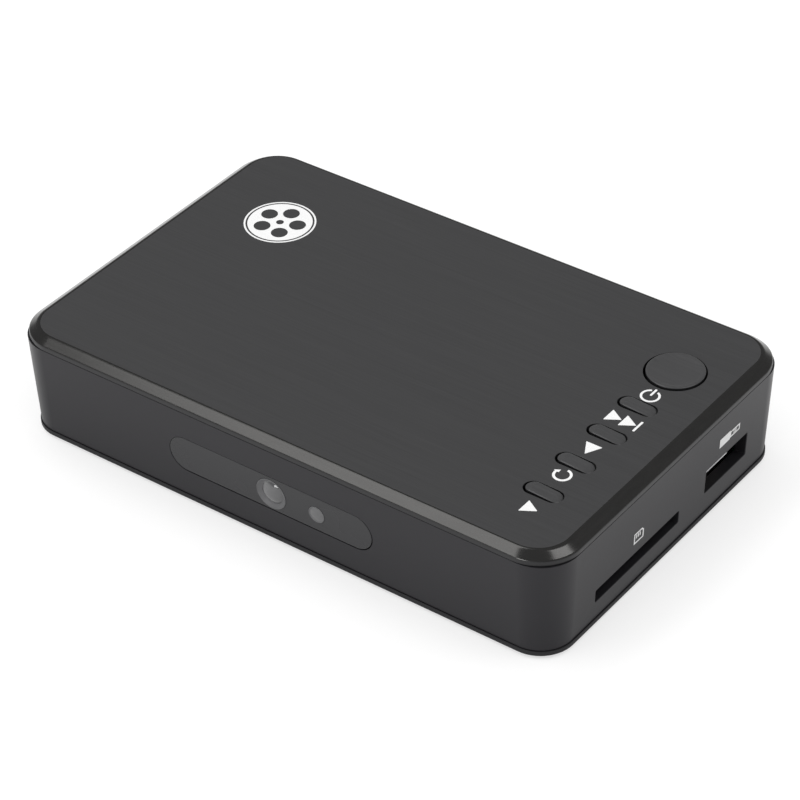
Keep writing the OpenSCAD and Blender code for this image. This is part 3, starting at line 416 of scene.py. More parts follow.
class Skin:
    """The closed surface of one piece, built from loops of points in millimetres."""

    def __init__(self):
        self.mesh = bmesh.new()
        self.finish = 0         # number of the finish that new faces get

    def loop(self, points):
        return [self.mesh.verts.new([c * MM for c in point]) for point in points]

    def face(self, points):
        self.mesh.faces.new(points).material_index = self.finish

    def band(self, low, high, gaps=()):
        """Faces between two loops, but not from the points whose numbers are in gaps."""
        count = len(low)
        for i in range(count):
            j = (i + 1) % count
            if i not in gaps:
                self.face((low[i], low[j], high[j], high[i]))

    def bands(self, *loops):
        for low, high in zip(loops, loops[1:]):
            self.band(low, high)

    def cap(self, *loops):
        """Fills the flat face inside the first loop and outside the others."""
        edges = []
        for loop in loops:
            for a, b in zip(loop, loop[1:] + loop[:1]):
                edges.append(self.mesh.edges.get((a, b)) or self.mesh.edges.new((a, b)))
        if len(loops) == 1:
            self.face(loops[0])
        else:
            corner = loops[0]
            normal = Vector()
            for a, b in zip(corner, corner[1:] + corner[:1]):
                normal += a.co.cross(b.co)
            filled = bmesh.ops.triangle_fill(self.mesh, use_beauty=True, use_dissolve=False,
                                             edges=edges, normal=normal.normalized())
            for made in filled["geom"]:
                if isinstance(made, bmesh.types.BMFace):
                    made.material_index = self.finish

    def wall_cap(self, low, high, number, *holes):
        """Fills the flat wall between two loops from the point with that number on."""
        after = (number + 1) % len(low)
        self.cap([low[number], low[after], high[after], high[number]], *holes)

    def piece(self, name, finishes, slot, body, *stands_for):
        bmesh.ops.recalc_face_normals(self.mesh, faces=self.mesh.faces)
        mesh = bpy.data.meshes.new(name)
        self.mesh.to_mesh(mesh)
        self.mesh.free()
        made = bpy.data.objects.new(name, mesh)
        bpy.context.scene.collection.objects.link(made)
        return settle(made, finishes, slot, body, *stands_for)


def at_height(outline, z, middle=(0, 0)):
    """The outline laid flat at height z round its middle."""
    return [(x + middle[0], y + middle[1], z) for x, y in outline]


def wall_in(z):
    """How far a wall stands in from the case outline at height z."""
    return WALL_DRAFT * (WALL_TOP_Z - z) / (WALL_TOP_Z - WALL_FOOT_Z)


# flat walls of a round_rect loop, by the number of the point that each starts from
REAR, FRONT, RIGHT = STEPS, 3 * STEPS + 2, 4 * STEPS + 3

KEY_X = 46.5
KEY_Y = {"play": -21.9, "return": -12.3, "down": -2.7, "next": 6.9}
KEY_HOLE = (7.7, 3.56)
POWER_Y, POWER_HOLE_R = 19.1, 5.68
KEY_STEPS = 8               # faces round a quarter of a long hole's end


def key_holes(skin, z, grow=0.0):
    """A loop at height z for each of the five button holes."""
    long_hole = obround(KEY_HOLE[0] + 2 * grow, KEY_HOLE[1] + 2 * grow, KEY_STEPS)
    loops = [skin.loop(at_height(long_hole, z, (KEY_X, y))) for y in KEY_Y.values()]
    loops.append(skin.loop(at_height(circle(POWER_HOLE_R + grow), z, (KEY_X, POWER_Y))))
    return loops


WINDOW_X, WINDOW_Z = -0.5, 10.9
WINDOW_L, WINDOW_H = 44.4, 7.3
RECESS = 0.95               # depth of the window's recess
FIT = 0.14                  # gap round the window
IR_X, LED_X = 0.0, 9.9
IR_R, LED_R = 3.2, 1.7
LENS_ROOM = 0.4             # gap round the lenses behind the window


def on_front(u, v, out, x=WINDOW_X):
    """A point u along and v up the front wall from the window's middle, and out from its face."""
    return (x + u,
            -CASE_W / 2 + wall_in(WINDOW_Z) - v * math.sin(WALL_TILT) - out * math.cos(WALL_TILT),
            WINDOW_Z + v * math.cos(WALL_TILT) - out * math.sin(WALL_TILT))


def on_right(u, v, out):
    return (CASE_L / 2 - wall_in(v) + out, u, v)


def on_rear(u, v, out):
    return (u, CASE_W / 2 - wall_in(v) + out, v)


def mouth(skin, outline, middle, where, ease):
    """Rounds an opening's rim, and gives its loop on the wall's face and its loop past the rim."""
    loops = []
    for turn in (0, 30, 60, 90):
        grow = ease * (1 - math.sin(math.radians(turn)))
        out = -ease * (1 - math.cos(math.radians(turn)))
        loops.append(skin.loop([where(middle[0] + u, middle[1] + v, out) for u, v in outline(grow)]))
    skin.bands(*loops)
    return loops[0], loops[-1]


shell = Skin()
wall_profile = eased([(GROOVE_IN, WALL_FOOT_Z - WALL_LOWER, 0),
                      (WALL_DRAFT, WALL_FOOT_Z - WALL_LOWER, FOOT_EASE),
                      (0, SEAM_Z, SHOULDER_EASE), (SEAM_IN, SEAM_Z, 0)])[1:]
wall_loops = []
for inset, z in wall_profile:
    outline = round_rect(CASE_L - 2 * inset, CASE_W - 2 * inset, CORNER_R - inset)
    wall_loops.append(shell.loop(at_height(outline, z)))
seam_outline = round_rect(CASE_L - 2 * SEAM_IN, CASE_W - 2 * SEAM_IN, PLATE_CORNER_R - SEAM_IN)
seam_low, seam_high = [shell.loop(at_height(seam_outline, z)) for z in (SEAM_Z, LIP_Z)]
wall_low, wall_high = wall_loops[3], wall_loops[4]
cavity_low, cavity_high = [shell.loop(at_height(round_rect(CAVITY_L, CAVITY_W, CAVITY_R), z))
                           for z in (WALL_FOOT_Z, DECK_Z)]
shell.bands(cavity_low, *wall_loops[:4])
shell.band(wall_low, wall_high, gaps=(REAR, FRONT, RIGHT))
shell.bands(*wall_loops[4:-1], seam_low, seam_high)
shell.band(cavity_low, cavity_high, gaps=(REAR, FRONT, RIGHT))

# deck with its button holes, and the bosses that hang from it
BOSS_X, BOSS_Y = 52.6, 31.1
KEY_SCREW_Y = (-27.0, -7.5, 27.6)
CASE_BOSS = (3.0, 1.3, 2.8, 9.0)    # radius, radius of the bore, height of the foot, depth of the bore
KEY_BOSS = (1.6, 0.85, 13.4, 4.0)
BOSS_EASE = 0.2

holes_high, holes_low = key_holes(shell, LIP_Z), key_holes(shell, DECK_Z)
shell.cap(seam_high, *holes_high)
for low, high in zip(holes_low, holes_high):
    shell.band(low, high)
bosses = [((sx * BOSS_X, sy * BOSS_Y), CASE_BOSS) for sx in (-1, 1) for sy in (-1, 1)]
bosses += [((KEY_X, y), KEY_BOSS) for y in KEY_SCREW_Y]
boss_roots = []
for middle, (radius, bore, foot_z, bore_l) in bosses:
    rings = [shell.loop(at_height(circle(r, 6), z, middle)) for r, z in (
        (radius, DECK_Z), (radius, foot_z + BOSS_EASE), (radius - BOSS_EASE, foot_z),
        (bore, foot_z), (bore, foot_z + bore_l))]
    shell.bands(*rings)
    shell.cap(rings[-1])
    boss_roots.append(rings[0])
shell.cap(cavity_high, *holes_low, *boss_roots)


# openings in the straight walls
RIM_EASE = 0.15


def box_mouth(size, radius):
    """Gives the outline of a mouth with round corners, grown by any amount."""
    return lambda grow: round_rect(size[0] + 2 * grow, size[1] + 2 * grow, radius + grow, 3)


def round_mouth(radius):
    return lambda grow: circle(radius + grow, 8)


def open_wall(number, on_face, on_cavity, *openings):
    """Closes a wall of the shell, outside and inside, round its openings."""
    rims, ends = [], []
    for outline, middle in openings:
        rim, throat = mouth(shell, outline, middle, on_face, RIM_EASE)
        end = shell.loop([on_cavity(middle[0] + u, middle[1] + v) for u, v in outline(0)])
        shell.band(throat, end)
        rims.append(rim)
        ends.append(end)
    shell.wall_cap(wall_low, wall_high, number, *rims)
    shell.wall_cap(cavity_low, cavity_high, number, *ends)


# right end: card slot and plug hole
CARD_AT, CARD_OPEN = (-10.575, 6.7), (26.0, 2.6)
PLUG_AT, PLUG_OPEN = (17.7, 8.7), (13.6, 5.0)
open_wall(RIGHT, on_right, lambda y, z: (CAVITY_L / 2, y, z),
          (box_mouth(CARD_OPEN, 0.25), CARD_AT),
          (box_mouth(PLUG_OPEN, 0.25), PLUG_AT))

# rear: video, sound and power sockets
VIDEO_AT, VIDEO_OPEN = (2.0, 8.375), (15.4, 5.95)
SOUND_AT, SOUND_HOLE_R = (-19.0, 8.2), 3.15
INLET_AT, INLET_HOLE_R = (-37.0, 11.7), 4.0
open_wall(REAR, on_rear, lambda x, z: (x, CAVITY_W / 2, z),
          (box_mouth(VIDEO_OPEN, 0.3), VIDEO_AT),
          (round_mouth(SOUND_HOLE_R), SOUND_AT),
          (round_mouth(INLET_HOLE_R), INLET_AT))

# front: window recess with the holes for the lens and the light
WINDOW_RIM_EASE = 0.04


def window_mouth(grow):
    return obround(WINDOW_L + 2 * (FIT + grow), WINDOW_H + 2 * (FIT + grow))


rim, throat = mouth(shell, window_mouth, (0, 0), on_front, WINDOW_RIM_EASE)
recess_edge = shell.loop([on_front(u, v, -RECESS) for u, v in window_mouth(0)])
shell.band(throat, recess_edge)
lens_starts, lens_ends = [], []
for x, radius in ((IR_X, IR_R), (LED_X, LED_R)):
    ring = circle(radius + LENS_ROOM, 8)
    lens_starts.append(shell.loop([on_front(u, v, -RECESS, x) for u, v in ring]))
    through = []
    for u, v in ring:
        start = on_front(u, v, -RECESS, x)
        way = (-CAVITY_W / 2 - start[1]) / math.cos(WALL_TILT)
        through.append((start[0], -CAVITY_W / 2, start[2] + way * math.sin(WALL_TILT)))
    lens_ends.append(shell.loop(through))
    shell.band(lens_starts[-1], lens_ends[-1])
shell.cap(recess_edge, *lens_starts)
shell.wall_cap(wall_low, wall_high, FRONT, rim)
shell.wall_cap(cavity_low, cavity_high, FRONT, *lens_ends)

satin_finish = Finish("case_satin")
grain = satin_finish.noise(3200)
cloud = satin_finish.noise(45, detail=3)
case_satin = satin_finish.set(
    Base_Color=satin_finish.mix(cloud, (0.0125, 0.0122, 0.0138), (0.0160, 0.0156, 0.0175)),
    Roughness=0.30 + 0.07 * cloud + 0.05 * grain,
    Specular_IOR_Level=0.30,
    Specular_Tint=(0.97, 0.95, 1.0),
    Normal=satin_finish.bump(grain, 0.004))
shell.piece("body_shell_piece", [case_satin], "satin_case", "case", "body_shell")


# ---------- boards and what they carry ----------
# A main board on four standoffs, and a key board that hangs from the deck, with a ribbon between
# them. Everything is a bought part soldered on; only the vents and the slots give a glimpse of it.

board_finish = Finish("board_green")
weave = board_finish.noise(700)
tracks = board_finish.node("TexBrick", {"offset": 0.5}, {
    "Vector": board_finish.place(160, 420, 1), "Scale": 1.0, "Mortar Size": 0.06,
    "Color1": (0, 0, 0), "Color2": (0.3, 0.3, 0.3), "Mortar": (1, 1, 1)}, out="Fac")
board_green = board_finish.set(
    Base_Color=board_finish.mix(
        tracks * 0.7 + weave * 0.3, (0.010, 0.075, 0.035), (0.030, 0.150, 0.070)),
    Roughness=0.32 + 0.15 * weave,
    Normal=board_finish.bump(tracks, 0.03))
dress(board_green, "main_board", "key_board")

resin_finish = Finish("chip_black")
dust = resin_finish.noise(2500)
chip_black = resin_finish.set(
    Base_Color=resin_finish.mix(dust, (0.010, 0.010, 0.010), (0.024, 0.024, 0.025)),
    Roughness=0.50 + 0.2 * dust,
    Normal=resin_finish.bump(dust, 0.01))
dress(chip_black, "processor", "memory_chips", "flash_chip", "ir_receiver",
      "power_switch", "next_switch", "down_switch", "return_switch", "play_switch")

sink_finish = Finish("sink_grey")
drawn = sink_finish.noise((2200, 30, 2200), detail=3)
sink_grey = sink_finish.set(
    Base_Color=sink_finish.mix(drawn, (0.30, 0.31, 0.32), (0.46, 0.47, 0.48)),
    Metallic=1.0,
    Roughness=0.32 + 0.2 * drawn,
    Normal=sink_finish.bump(drawn, 0.01))
dress(sink_grey, "heat_sink", "capacitors", "crystal")

ceramic_finish = Finish("ceramic_brown")
fired = ceramic_finish.noise(1800)
ceramic_brown = ceramic_finish.set(
    Base_Color=ceramic_finish.mix(fired, (0.16, 0.12, 0.08), (0.30, 0.25, 0.18)),
    Roughness=0.35 + 0.2 * fired)
dress(ceramic_brown, "chip_resistors")

ferrite_finish = Finish("ferrite_grey")
fine = ferrite_finish.noise(2400, detail=3)
ferrite_grey = ferrite_finish.set(
    Base_Color=ferrite_finish.mix(fine, (0.03, 0.03, 0.032), (0.07, 0.07, 0.074)),
    Roughness=0.45 + 0.2 * fine,
    Normal=ferrite_finish.bump(fine, 0.02))
dress(ferrite_grey, "power_coil")

cream_finish = Finish("cream_nylon")
flow = cream_finish.noise(400)
cream_nylon = cream_finish.set(
    Base_Color=cream_finish.mix(flow, (0.55, 0.50, 0.40), (0.68, 0.64, 0.53)),
    Roughness=0.38 + 0.15 * flow)
dress(cream_nylon, "ribbon_connectors", "usb_tongue", "status_led",
      "power_plunger", "next_plunger", "down_plunger", "return_plunger", "play_plunger")

ribbon_finish = Finish("ribbon_film")
strands = ribbon_finish.node("TexWave", {"bands_direction": "Y"}, {
    "Vector": ribbon_finish.place(), "Scale": 500.0, "Distortion": 0.0}, out="Fac")
ribbon_film = ribbon_finish.set(
    Base_Color=ribbon_finish.mix(strands, (0.50, 0.50, 0.48), (0.70, 0.70, 0.68)),
    Roughness=0.30 + 0.1 * strands,
    Normal=ribbon_finish.bump(strands, 0.03))
dress(ribbon_film, "key_ribbon")


# ---------- sockets ----------
# The card tray, the plug socket and the rear sockets are soldered to the main board behind their
# openings: pressed and plated shells, moulded tongues and bodies, and gilt spring contacts.

plate_finish = Finish("plated_steel")
pressed = plate_finish.noise(500, detail=3)
plated_steel = plate_finish.set(
    Base_Color=plate_finish.mix(pressed, (0.50, 0.50, 0.51), (0.68, 0.68, 0.69)),
    Metallic=1.0,
    Roughness=0.20 + 0.18 * pressed,
    Normal=plate_finish.bump(pressed, 0.006))
dress(plated_steel, "sd_shield", "hdmi_shell", "dc_pin")

# Painted shade: the plug socket's steel shell is coloured near black inside the opening and turns to
# plated steel only at its mouth.
PLUG_PAINTED_SHADE_X = (0.0572, 0.0578)       # the shell is bright only at its very mouth
plug_shade_finish = Finish("plug_shell_painted_shade")
along = plug_shade_finish.node("SeparateXYZ", {}, {0: plug_shade_finish.place()}, out="X").between(*PLUG_PAINTED_SHADE_X)
smear = plug_shade_finish.noise(500, detail=3)
plug_shell_painted_shade = plug_shade_finish.set(
    Base_Color=plug_shade_finish.mix(along, (0.03, 0.03, 0.032), (0.58, 0.58, 0.59)),
    Metallic=1.0,
    Roughness=0.24 + 0.18 * smear,
    Normal=plug_shade_finish.bump(smear, 0.006))
dress(plug_shell_painted_shade, "usb_shell")

gilt_finish = Finish("gilt_contact")
worn = gilt_finish.noise(1500)
gilt_contact = gilt_finish.set(
    Base_Color=gilt_finish.mix(worn, (0.72, 0.50, 0.20), (0.86, 0.64, 0.30)),
    Metallic=1.0,
    Roughness=0.22 + 0.15 * worn)
dress(gilt_contact, "sd_contacts", "usb_contacts", "hdmi_contacts")

socket_finish = Finish("socket_black")
matt = socket_finish.noise(1800)
socket_black = socket_finish.set(
    Base_Color=socket_finish.mix(matt, (0.009, 0.009, 0.010), (0.016, 0.016, 0.017)),
    Roughness=0.38 + 0.15 * matt,
    Normal=socket_finish.bump(matt, 0.01))
dress(socket_black, "sd_socket", "hdmi_tongue", "av_jack", "dc_jack")


# ---------- infra-red window ----------
# A slot-shaped panel of smoked plastic is pressed into the front wall's recess and stands a little
# proud. Two clear lenses are pushed into it from behind, for the receiver and for the light.

WINDOW_UP = 0.12        # the panel lies against the top of its recess
WINDOW_PROUD = 0.06     # how far its face stands out from the wall
WINDOW_EDGE = 0.15      # how far the rounded edge runs in over the face
LENS_FIT = 0.03         # gap round the lenses in the window
LENS_HOLE_RIM = ((0.06, 0), (0.02, 0.02), (0, 0.06))    # how far each step is out from the hole, and down

window = Skin()
front_loops = []
for turn in (0, 18, 36, 54, 72, 90):
    shrink = WINDOW_EDGE * (1 - math.cos(math.radians(turn)))
    out = WINDOW_PROUD * math.sin(math.radians(turn))
    front_loops.append(window.loop([on_front(u, v + WINDOW_UP, out)
                                    for u, v in obround(WINDOW_L - 2 * shrink, WINDOW_H - 2 * shrink)]))
back_loop = window.loop([on_front(u, v + WINDOW_UP, -RECESS)
                         for u, v in obround(WINDOW_L, WINDOW_H)])
window.bands(back_loop, *front_loops)
rims, ends = [], []
hole_steps = [(grow, WINDOW_PROUD - down) for grow, down in LENS_HOLE_RIM] + [(0, -RECESS)]
for x, radius in ((IR_X, IR_R + LENS_FIT), (LED_X, LED_R + LENS_FIT)):
    loops = [window.loop([on_front(u, v, out, x) for u, v in circle(radius + grow, 10)])
             for grow, out in hole_steps]
    window.bands(*loops)
    rims.append(loops[0])
    ends.append(loops[-1])
window.cap(front_loops[-1], *rims)
window.cap(back_loop, *ends)

smoked_finish = Finish("window_smoked")
swirl = smoked_finish.noise(70)
specks = smoked_finish.noise(4000, detail=1)
window_smoked = smoked_finish.set(
    Base_Color=smoked_finish.mix(swirl, (0.019, 0.019, 0.021), (0.025, 0.025, 0.027)),
    Roughness=0.24 + 0.06 * swirl,
    Specular_IOR_Level=0.38,
    Normal=smoked_finish.bump(specks, 0.002))
window.piece("ir_window_piece", [window_smoked], "window_plastic", "case", "ir_window")


STEM_SHARE = 0.9                    # radius of a lens's stem, as a share of the lens's
STEM_BACK, FLANGE_BACK = 1.4, 0.6   # how far its stem and its flange reach behind the recess
FLANGE_OUT = 0.3                    # how far its flange reaches out behind the window
LENS_RIM = 0.09                     # height of its raised rim over the window
RIM_ROUND, RIM_FLAT, RIM_FOOT = 0.05, 0.14, 0.24    # how far in the rim is rounded, flat, and down again
CONE_EDGE = 0.04                    # gap between the cone's lower edge and the dome's foot
DOME_SHARES = (0.97, 0.92, 0.85, 0.75, 0.62, 0.48, 0.33, 0.15)


def lens(name, x, radius, dome_r, foot, top, stands_for):
    """A lens: a raised rim, a frosted cone down to the dome's foot, and a clear dome.

    foot and top are how far the dome's foot and top stand out from the wall's face."""
    skin = Skin()
    behind = [(radius * STEM_SHARE, -RECESS - STEM_BACK), (radius * STEM_SHARE, -RECESS - FLANGE_BACK),
              (radius + FLANGE_OUT, -RECESS - FLANGE_BACK), (radius + FLANGE_OUT, -RECESS),
              (radius, -RECESS)]
    crest = WINDOW_PROUD + LENS_RIM
    rim = [(radius, crest - RIM_ROUND), (radius - RIM_ROUND, crest), (radius - RIM_FLAT, crest),
           (radius - RIM_FOOT, WINDOW_PROUD), (dome_r + CONE_EDGE, foot)]
    depth = top - foot
    ball = (dome_r ** 2 + depth ** 2) / (2 * depth)
    dome = [(dome_r, foot)]
    for share in DOME_SHARES:
        dome.append((dome_r * share, top - ball + math.sqrt(ball ** 2 - (dome_r * share) ** 2)))
    loops = [skin.loop([on_front(u, v, out, x) for u, v in circle(r, 12)])
             for r, out in behind + rim + dome]
    dome_start = len(behind) + len(rim)
    skin.bands(*loops[:dome_start + 1])
    skin.cap(loops[0])
    skin.finish = 1
    skin.bands(*loops[dome_start:])
    skin.cap(loops[-1])
    return skin.piece(name, [lens_frosted, lens_clear], "clear_lens", "case", stands_for)


frost_finish = Finish("lens_frosted")
frost = frost_finish.noise(1800)
lens_frosted = frost_finish.set(
    Base_Color=frost_finish.mix(frost, (0.095, 0.095, 0.099), (0.125, 0.125, 0.129)),
    Roughness=0.40 + 0.1 * frost)
glass_finish = Finish("lens_clear")
ripple = glass_finish.noise(500)
lens_clear = glass_finish.set(
    Base_Color=glass_finish.mix(ripple, (0.080, 0.080, 0.083), (0.108, 0.108, 0.111)),
    Roughness=0.05 + 0.05 * ripple,
    Coat_Weight=0.6,
    Coat_Roughness=0.05)
lens("ir_lens_piece", IR_X, IR_R, 2.35, -0.36, 0.40, "ir_lens")
lens("led_lens_piece", LED_X, LED_R, 1.35, 0.05, 0.16, "led_lens")


# ---------- top plate ----------
# Dark anodised aluminium, brushed along its length, with a bevel cut all round and an upright lip.
# It is bonded to the deck and leaves a shadow gap over the walls.

BEVEL_END, BEVEL_SIDE = 2.3, 1.9
BEVEL_MEAN = (BEVEL_END + BEVEL_SIDE) / 2
BEVEL_RUN = 0.82            # share of those widths that the bevel takes before the flat top
BEVEL_Z, TOP_Z = 21.48, 22.75
LIP_DOWN = 0.05             # the lip hangs this far below the deck's top
LIP_EASE, BEVEL_EASE, TOP_EASE = 0.05, 0.26, 0.45
EASE_STEPS = 6
HOLE_RIM = ((0.08, 0), (0.023, 0.023), (0, 0.08))   # how far each step is down, and out from the hole

plate = Skin()
plate_profile = eased([(BEVEL_MEAN, LIP_Z - LIP_DOWN, 0), (0, LIP_Z - LIP_DOWN, LIP_EASE),
                       (0, BEVEL_Z, BEVEL_EASE), (BEVEL_RUN * BEVEL_MEAN, TOP_Z, TOP_EASE),
                       (3 * BEVEL_MEAN, TOP_Z, 0)], EASE_STEPS)[1:-1]
plate_loops = []
for inset, z in plate_profile:
    share = inset / BEVEL_MEAN
    plate_loops.append(plate.loop(at_height(round_rect(
        CASE_L - 2 * share * BEVEL_END, CASE_W - 2 * share * BEVEL_SIDE, PLATE_CORNER_R - inset), z)))
bevel_from = EASE_STEPS + 1 + EASE_STEPS // 2       # halfway round the edge between lip and bevel
plate.finish = 2
plate.bands(*plate_loops[:bevel_from + 1])
plate.finish = 1
plate.bands(*plate_loops[bevel_from:])
plate.finish = 0
under_holes = key_holes(plate, LIP_Z)
side_holes = [key_holes(plate, TOP_Z - drop, grow) for drop, grow in HOLE_RIM]
for under, *sides in zip(under_holes, *side_holes):
    plate.finish = 2
    plate.band(under, sides[0])
    plate.finish = 0
    plate.bands(*sides)
plate.cap(plate_loops[0], *under_holes)
plate.cap(plate_loops[-1], *side_holes[-1])

brushed_finish = Finish("top_brushed")
long_streaks = brushed_finish.noise((26, 3200, 3200), detail=3, rough=0.6)
short_streaks = brushed_finish.noise((110, 7500, 7500))
haze = brushed_finish.noise((22, 30, 30))
streaks = 0.6 * long_streaks + 0.4 * short_streaks
top_brushed = brushed_finish.set(
    Base_Color=brushed_finish.mix(streaks, (0.046, 0.046, 0.0475), (0.081, 0.081, 0.0835)),
    Metallic=0.35,
    Roughness=0.30 + 0.10 * streaks + 0.04 * haze,
    Normal=brushed_finish.bump(streaks, 0.006))
cut_finish = Finish("bevel_cut")
tool_marks = cut_finish.noise((260, 260, 2600))
bevel_cut = cut_finish.set(
    Base_Color=cut_finish.mix(tool_marks, (0.074, 0.073, 0.072), (0.092, 0.091, 0.089)),
    Metallic=0.95,
    Roughness=0.16 + 0.06 * tool_marks)
lip_finish = Finish("lip_satin")
scuff = lip_finish.noise(900)
lip_satin = lip_finish.set(
    Base_Color=lip_finish.mix(scuff, (0.012, 0.012, 0.013), (0.018, 0.018, 0.019)),
    Roughness=0.26 + 0.1 * scuff,
    Specular_IOR_Level=0.34)
plate.piece("top_cover_piece", [top_brushed, bevel_cut, lip_satin], "brushed_top", "case", "top_cover")


# ---------- buttons ----------
# Five caps with the same dark brushed look, each held under the deck by its flange. The long ones
# slope down towards the card slot, and the round one has a shallow dish.

KEY_GAP = 0.35          # gap round the caps in their holes
KEY_LONGER = 0.15       # the long caps reach this much further into the end of their holes at +X
KEY_PROUD = 0.25        # how far the caps stand out over the plate
KEY_BACK = 0.15         # the caps lie a little to the rear in their holes
KEY_PEAK_X = 45.7       # where the long caps are highest
KEY_BEND_R = 14.5       # radius of their curve along X
CAP_EDGE = (0.35, 0.14)         # how far a cap's rounded edge runs in, and down
FACE_INSETS = (0.7, 1.1)        # loops of the long caps' faces, in from the edge
FLANGE_TOP, FLANGE_T, FLANGE_REACH = 18.9, 1.0, 0.7     # the flange reaches under the hole's edge
NUB_R, NUB_H = 1.7, 0.4


def cap_under(skin, outline, steps, middle):
    """Nub, flange and foot of a cap, from the plunger up; outline gives its outline, grown."""
    nub = obround(2 * NUB_R, 2 * NUB_R, steps) if steps == KEY_STEPS else circle(NUB_R)
    low = FLANGE_TOP - FLANGE_T
    reach = FLANGE_REACH + KEY_GAP
    loops = [skin.loop(at_height(nub, low - NUB_H, middle)), skin.loop(at_height(nub, low, middle))]
    for grow, z in ((reach, low), (reach, FLANGE_TOP), (0, FLANGE_TOP)):
        loops.append(skin.loop(at_height(outline(grow), z, middle)))
    skin.finish = 1
    skin.bands(*loops)
    skin.cap(loops[0])
    return loops[-1]


cap_finish = Finish("cap_brushed")
cap_streaks = cap_finish.noise((60, 3000, 3000), detail=3, rough=0.6)
cap_brushed = cap_finish.set(
    Base_Color=cap_finish.mix(cap_streaks, (0.062, 0.062, 0.064), (0.094, 0.094, 0.0965)),
    Metallic=0.35,
    Roughness=0.28 + 0.10 * cap_streaks,
    Normal=cap_finish.bump(cap_streaks, 0.005))


def long_button(name, y):
    """A slot-shaped cap, bent along X so that its end by the card slot is the lowest."""
    length, width = KEY_HOLE[0] - 2 * KEY_GAP + KEY_LONGER, KEY_HOLE[1] - 2 * KEY_GAP
    middle = (KEY_X + KEY_LONGER / 2, y + KEY_BACK)

    def outline(grow):
        return obround(length + 2 * grow, width + 2 * grow, KEY_STEPS)

    skin = Skin()
    loops = [cap_under(skin, outline, KEY_STEPS, middle)]
    rows = []
    for turn in (0, 15, 30, 45, 60, 75, 90):
        angle = math.radians(turn)
        rows.append((CAP_EDGE[0] * (1 - math.cos(angle)), CAP_EDGE[1] * (1 - math.sin(angle))))
    for inset, low in rows + [(inset, 0) for inset in FACE_INSETS]:
        points = []
        for x, y, z in at_height(outline(-inset), TOP_Z + KEY_PROUD, middle):
            bend = KEY_BEND_R - math.sqrt(KEY_BEND_R ** 2 - (x - KEY_PEAK_X) ** 2)
            points.append((x, y, z - low - bend))
        loops.append(skin.loop(points))
    skin.bands(*loops[:3])
    skin.finish = 0
    skin.bands(*loops[2:])
    inner = loops[-1]
    for k in range(len(inner) // 2 - 1):
        skin.face((inner[k], inner[k + 1], inner[-2 - k], inner[-1 - k]))
    skin.piece(name + "_button_piece", [cap_brushed, lip_satin], "button_plastic",
               name + "_key", name + "_button")


for name, y in KEY_Y.items():
    long_button(name, y)

# the round cap's face, as distances in from its edge and down from its highest line
POWER_FACE = [(0, 0.20), (0.02, 0.13), (0.08, 0.06), (0.17, 0.02), (0.30, 0), (0.5, 0.01), (0.7, 0.05),
              (0.95, 0.105), (1.25, 0.15), (1.7, 0.19), (2.6, 0.21), (3.9, 0.218), (5.1, 0.22)]
power_r = POWER_HOLE_R - KEY_GAP
power = Skin()
power_at = (KEY_X, POWER_Y + KEY_BACK)
loops = [cap_under(power, lambda grow: circle(power_r + grow), STEPS, power_at)]
for inset, low in POWER_FACE:
    loops.append(power.loop(at_height(circle(power_r - inset), TOP_Z + KEY_PROUD - low, power_at)))
power.bands(*loops[:3])
power.finish = 0
power.bands(*loops[2:])
power.cap(loops[-1])
power.piece("power_button_piece", [cap_brushed, lip_satin], "button_plastic",
            "power_key", "power_button")


# ---------- prints ----------
# White ink, screen printed on the plate and the right wall in one thin layer: the signs for the
# buttons, a round reel mark at the far left, and small pictures over the card slot and the socket.

INK_OVER, INK_UNDER = 0.02, 0.02        # how far the ink stands out, and goes into what it is on

ink_finish = Finish("ink_white")
screen = ink_finish.noise(2600)
ink_white = ink_finish.set(
    Base_Color=ink_finish.mix(screen, (0.84, 0.84, 0.84), (0.93, 0.93, 0.93)),
    Roughness=0.45 + 0.1 * screen)


def print_shape(skin, outlines, where):
    """One printed shape: its outer outline first, then those of the holes in it."""
    tops = [skin.loop([where(u, v, INK_OVER) for u, v in outline]) for outline in outlines]
    unders = [skin.loop([where(u, v, -INK_UNDER) for u, v in outline]) for outline in outlines]
    for under, top in zip(unders, tops):
        skin.band(under, top)
    skin.cap(*tops)
    skin.cap(*unders)


def on_plate(u, v, out):
    return (u, v, TOP_Z + out)


def moved(outline, x, y):
    return [(x + u, y + v) for u, v in outline]


def around(radius, turn):
    """The point on a circle at that angle in degrees."""
    return radius * math.cos(math.radians(turn)), radius * math.sin(math.radians(turn))


def arc_band(radius, width, start, end, steps=24):
    """A band of that width along an arc, with angles in degrees."""
    turns = [start + (end - start) * k / steps for k in range(steps + 1)]
    outer = [around(radius + width / 2, turn) for turn in turns]
    inner = [around(radius - width / 2, turn) for turn in turns]
    return outer + inner[::-1]


SIGN_LINE = 0.42        # width of the signs' thinner strokes
TIP_EASE = 0.18         # rounding of the triangles' tips
RING_R, RING_WIDTH = 1.5, 0.48
RING_START, RING_END = 168, 445

signs = Skin()
for tips in (
        ((45.85, -28.40), (48.58, -26.75), (45.85, -25.12)),    # play
        ((44.75, -6.36), (46.42, -9.42), (48.03, -6.36)),       # down
        ((43.68, 0.38), (46.42, 2.06), (43.68, 3.70)),          # next, with its bar
        ((46.62, 0.42), (49.36, 2.10), (46.62, 3.74))):
    print_shape(signs, [eased([(*tip, TIP_EASE) for tip in tips])], on_plate)
print_shape(signs, [moved(round_rect(SIGN_LINE, 3.1, 0.12, 3), 49.72, 2.04)], on_plate)

# return: most of a ring, with an arrow head on its far end
head = [around(RING_R + reach, turn)
        for reach, turn in ((-0.55, RING_START), (-0.1, RING_START - 36), (0.55, RING_START))]
ring = arc_band(RING_R, RING_WIDTH, RING_START, RING_END)
print_shape(signs, [moved(ring + head, 46.55, -16.35)], on_plate)

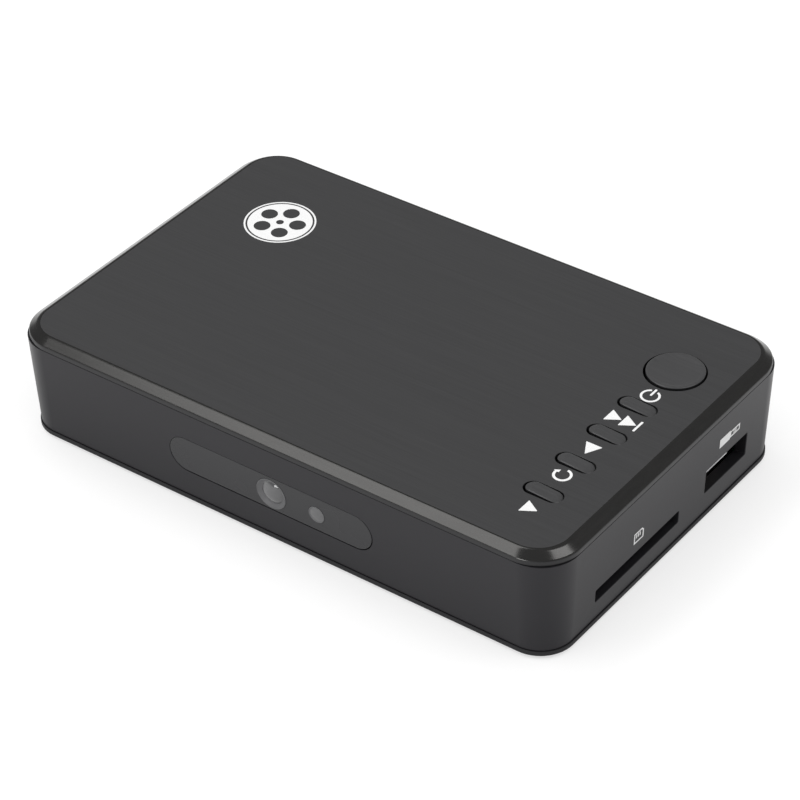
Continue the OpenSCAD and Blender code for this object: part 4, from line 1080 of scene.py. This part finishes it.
# power: a ring that is open at a stroke from its middle
print_shape(signs, [moved(arc_band(1.62, SIGN_LINE, 112, 428), 46.73, 10.62)], on_plate)
print_shape(signs, [moved(round_rect(SIGN_LINE, 2.1, 0.2, 3), 46.70, 11.75)], on_plate)
signs.piece("button_signs", [ink_white], "brushed_top", "case")

REEL_AT = (-39.6, 16.7)
REEL_R, HUB_R, HOLE_R, HOLES_AT_R = 6.15, 0.75, 1.6, 3.5
REEL_RING = (6.85, 6.5)

reel = Skin()
reel_outlines = [circle(REEL_R, 24), circle(HUB_R, 6)]
for k in range(5):
    reel_outlines.append(moved(circle(HOLE_R, 8), *around(HOLES_AT_R, 90 + 72 * k)))
print_shape(reel, [moved(outline, *REEL_AT) for outline in reel_outlines], on_plate)
print_shape(reel, [moved(circle(radius, 24), *REEL_AT) for radius in REEL_RING], on_plate)
reel.piece("reel_mark", [ink_white], "brushed_top", "case")

CARD_SIGN_AT = (-10.8, 11.5)
PLUG_SIGN_AT = (18.0, 14.8)
PLUG_TIP = 1.7          # middle of the plug's tip, along from the middle of its sign

pictures = Skin()
card_outline = [(-1.5, -1.15), (1.5, -1.15), (1.5, 0.6), (0.95, 1.15), (-1.5, 1.15)]
card_inner = [(-1.2, -0.85), (1.2, -0.85), (1.2, 0.48), (0.83, 0.85), (-1.2, 0.85)]
print_shape(pictures, [moved(outline, *CARD_SIGN_AT) for outline in (card_outline, card_inner)], on_right)
for u in (-0.75, -0.2, 0.35):
    contact_strip = moved(round_rect(0.28, 0.8, 0.05, 2), CARD_SIGN_AT[0] + u, CARD_SIGN_AT[1] + 0.3)
    print_shape(pictures, [contact_strip], on_right)
plug_outline = [(-3.3, -0.95), (0.1, -0.95), (0.1, -0.7), (3.3, -0.7), (3.3, 0.7), (0.1, 0.7),
                (0.1, 0.95), (-3.3, 0.95)]
plug_inner = moved(round_rect(2.6, 0.8, 0.08, 2), PLUG_SIGN_AT[0] + PLUG_TIP, PLUG_SIGN_AT[1])
print_shape(pictures, [moved(plug_outline, *PLUG_SIGN_AT), plug_inner], on_right)
for v in (-0.18, 0.18):
    line = moved(round_rect(1.2, 0.16, 0.05, 2), PLUG_SIGN_AT[0] + PLUG_TIP, PLUG_SIGN_AT[1] + v)
    print_shape(pictures, [line], on_right)
pictures.piece("socket_pictures", [ink_white], "satin_case", "case")

low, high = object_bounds()
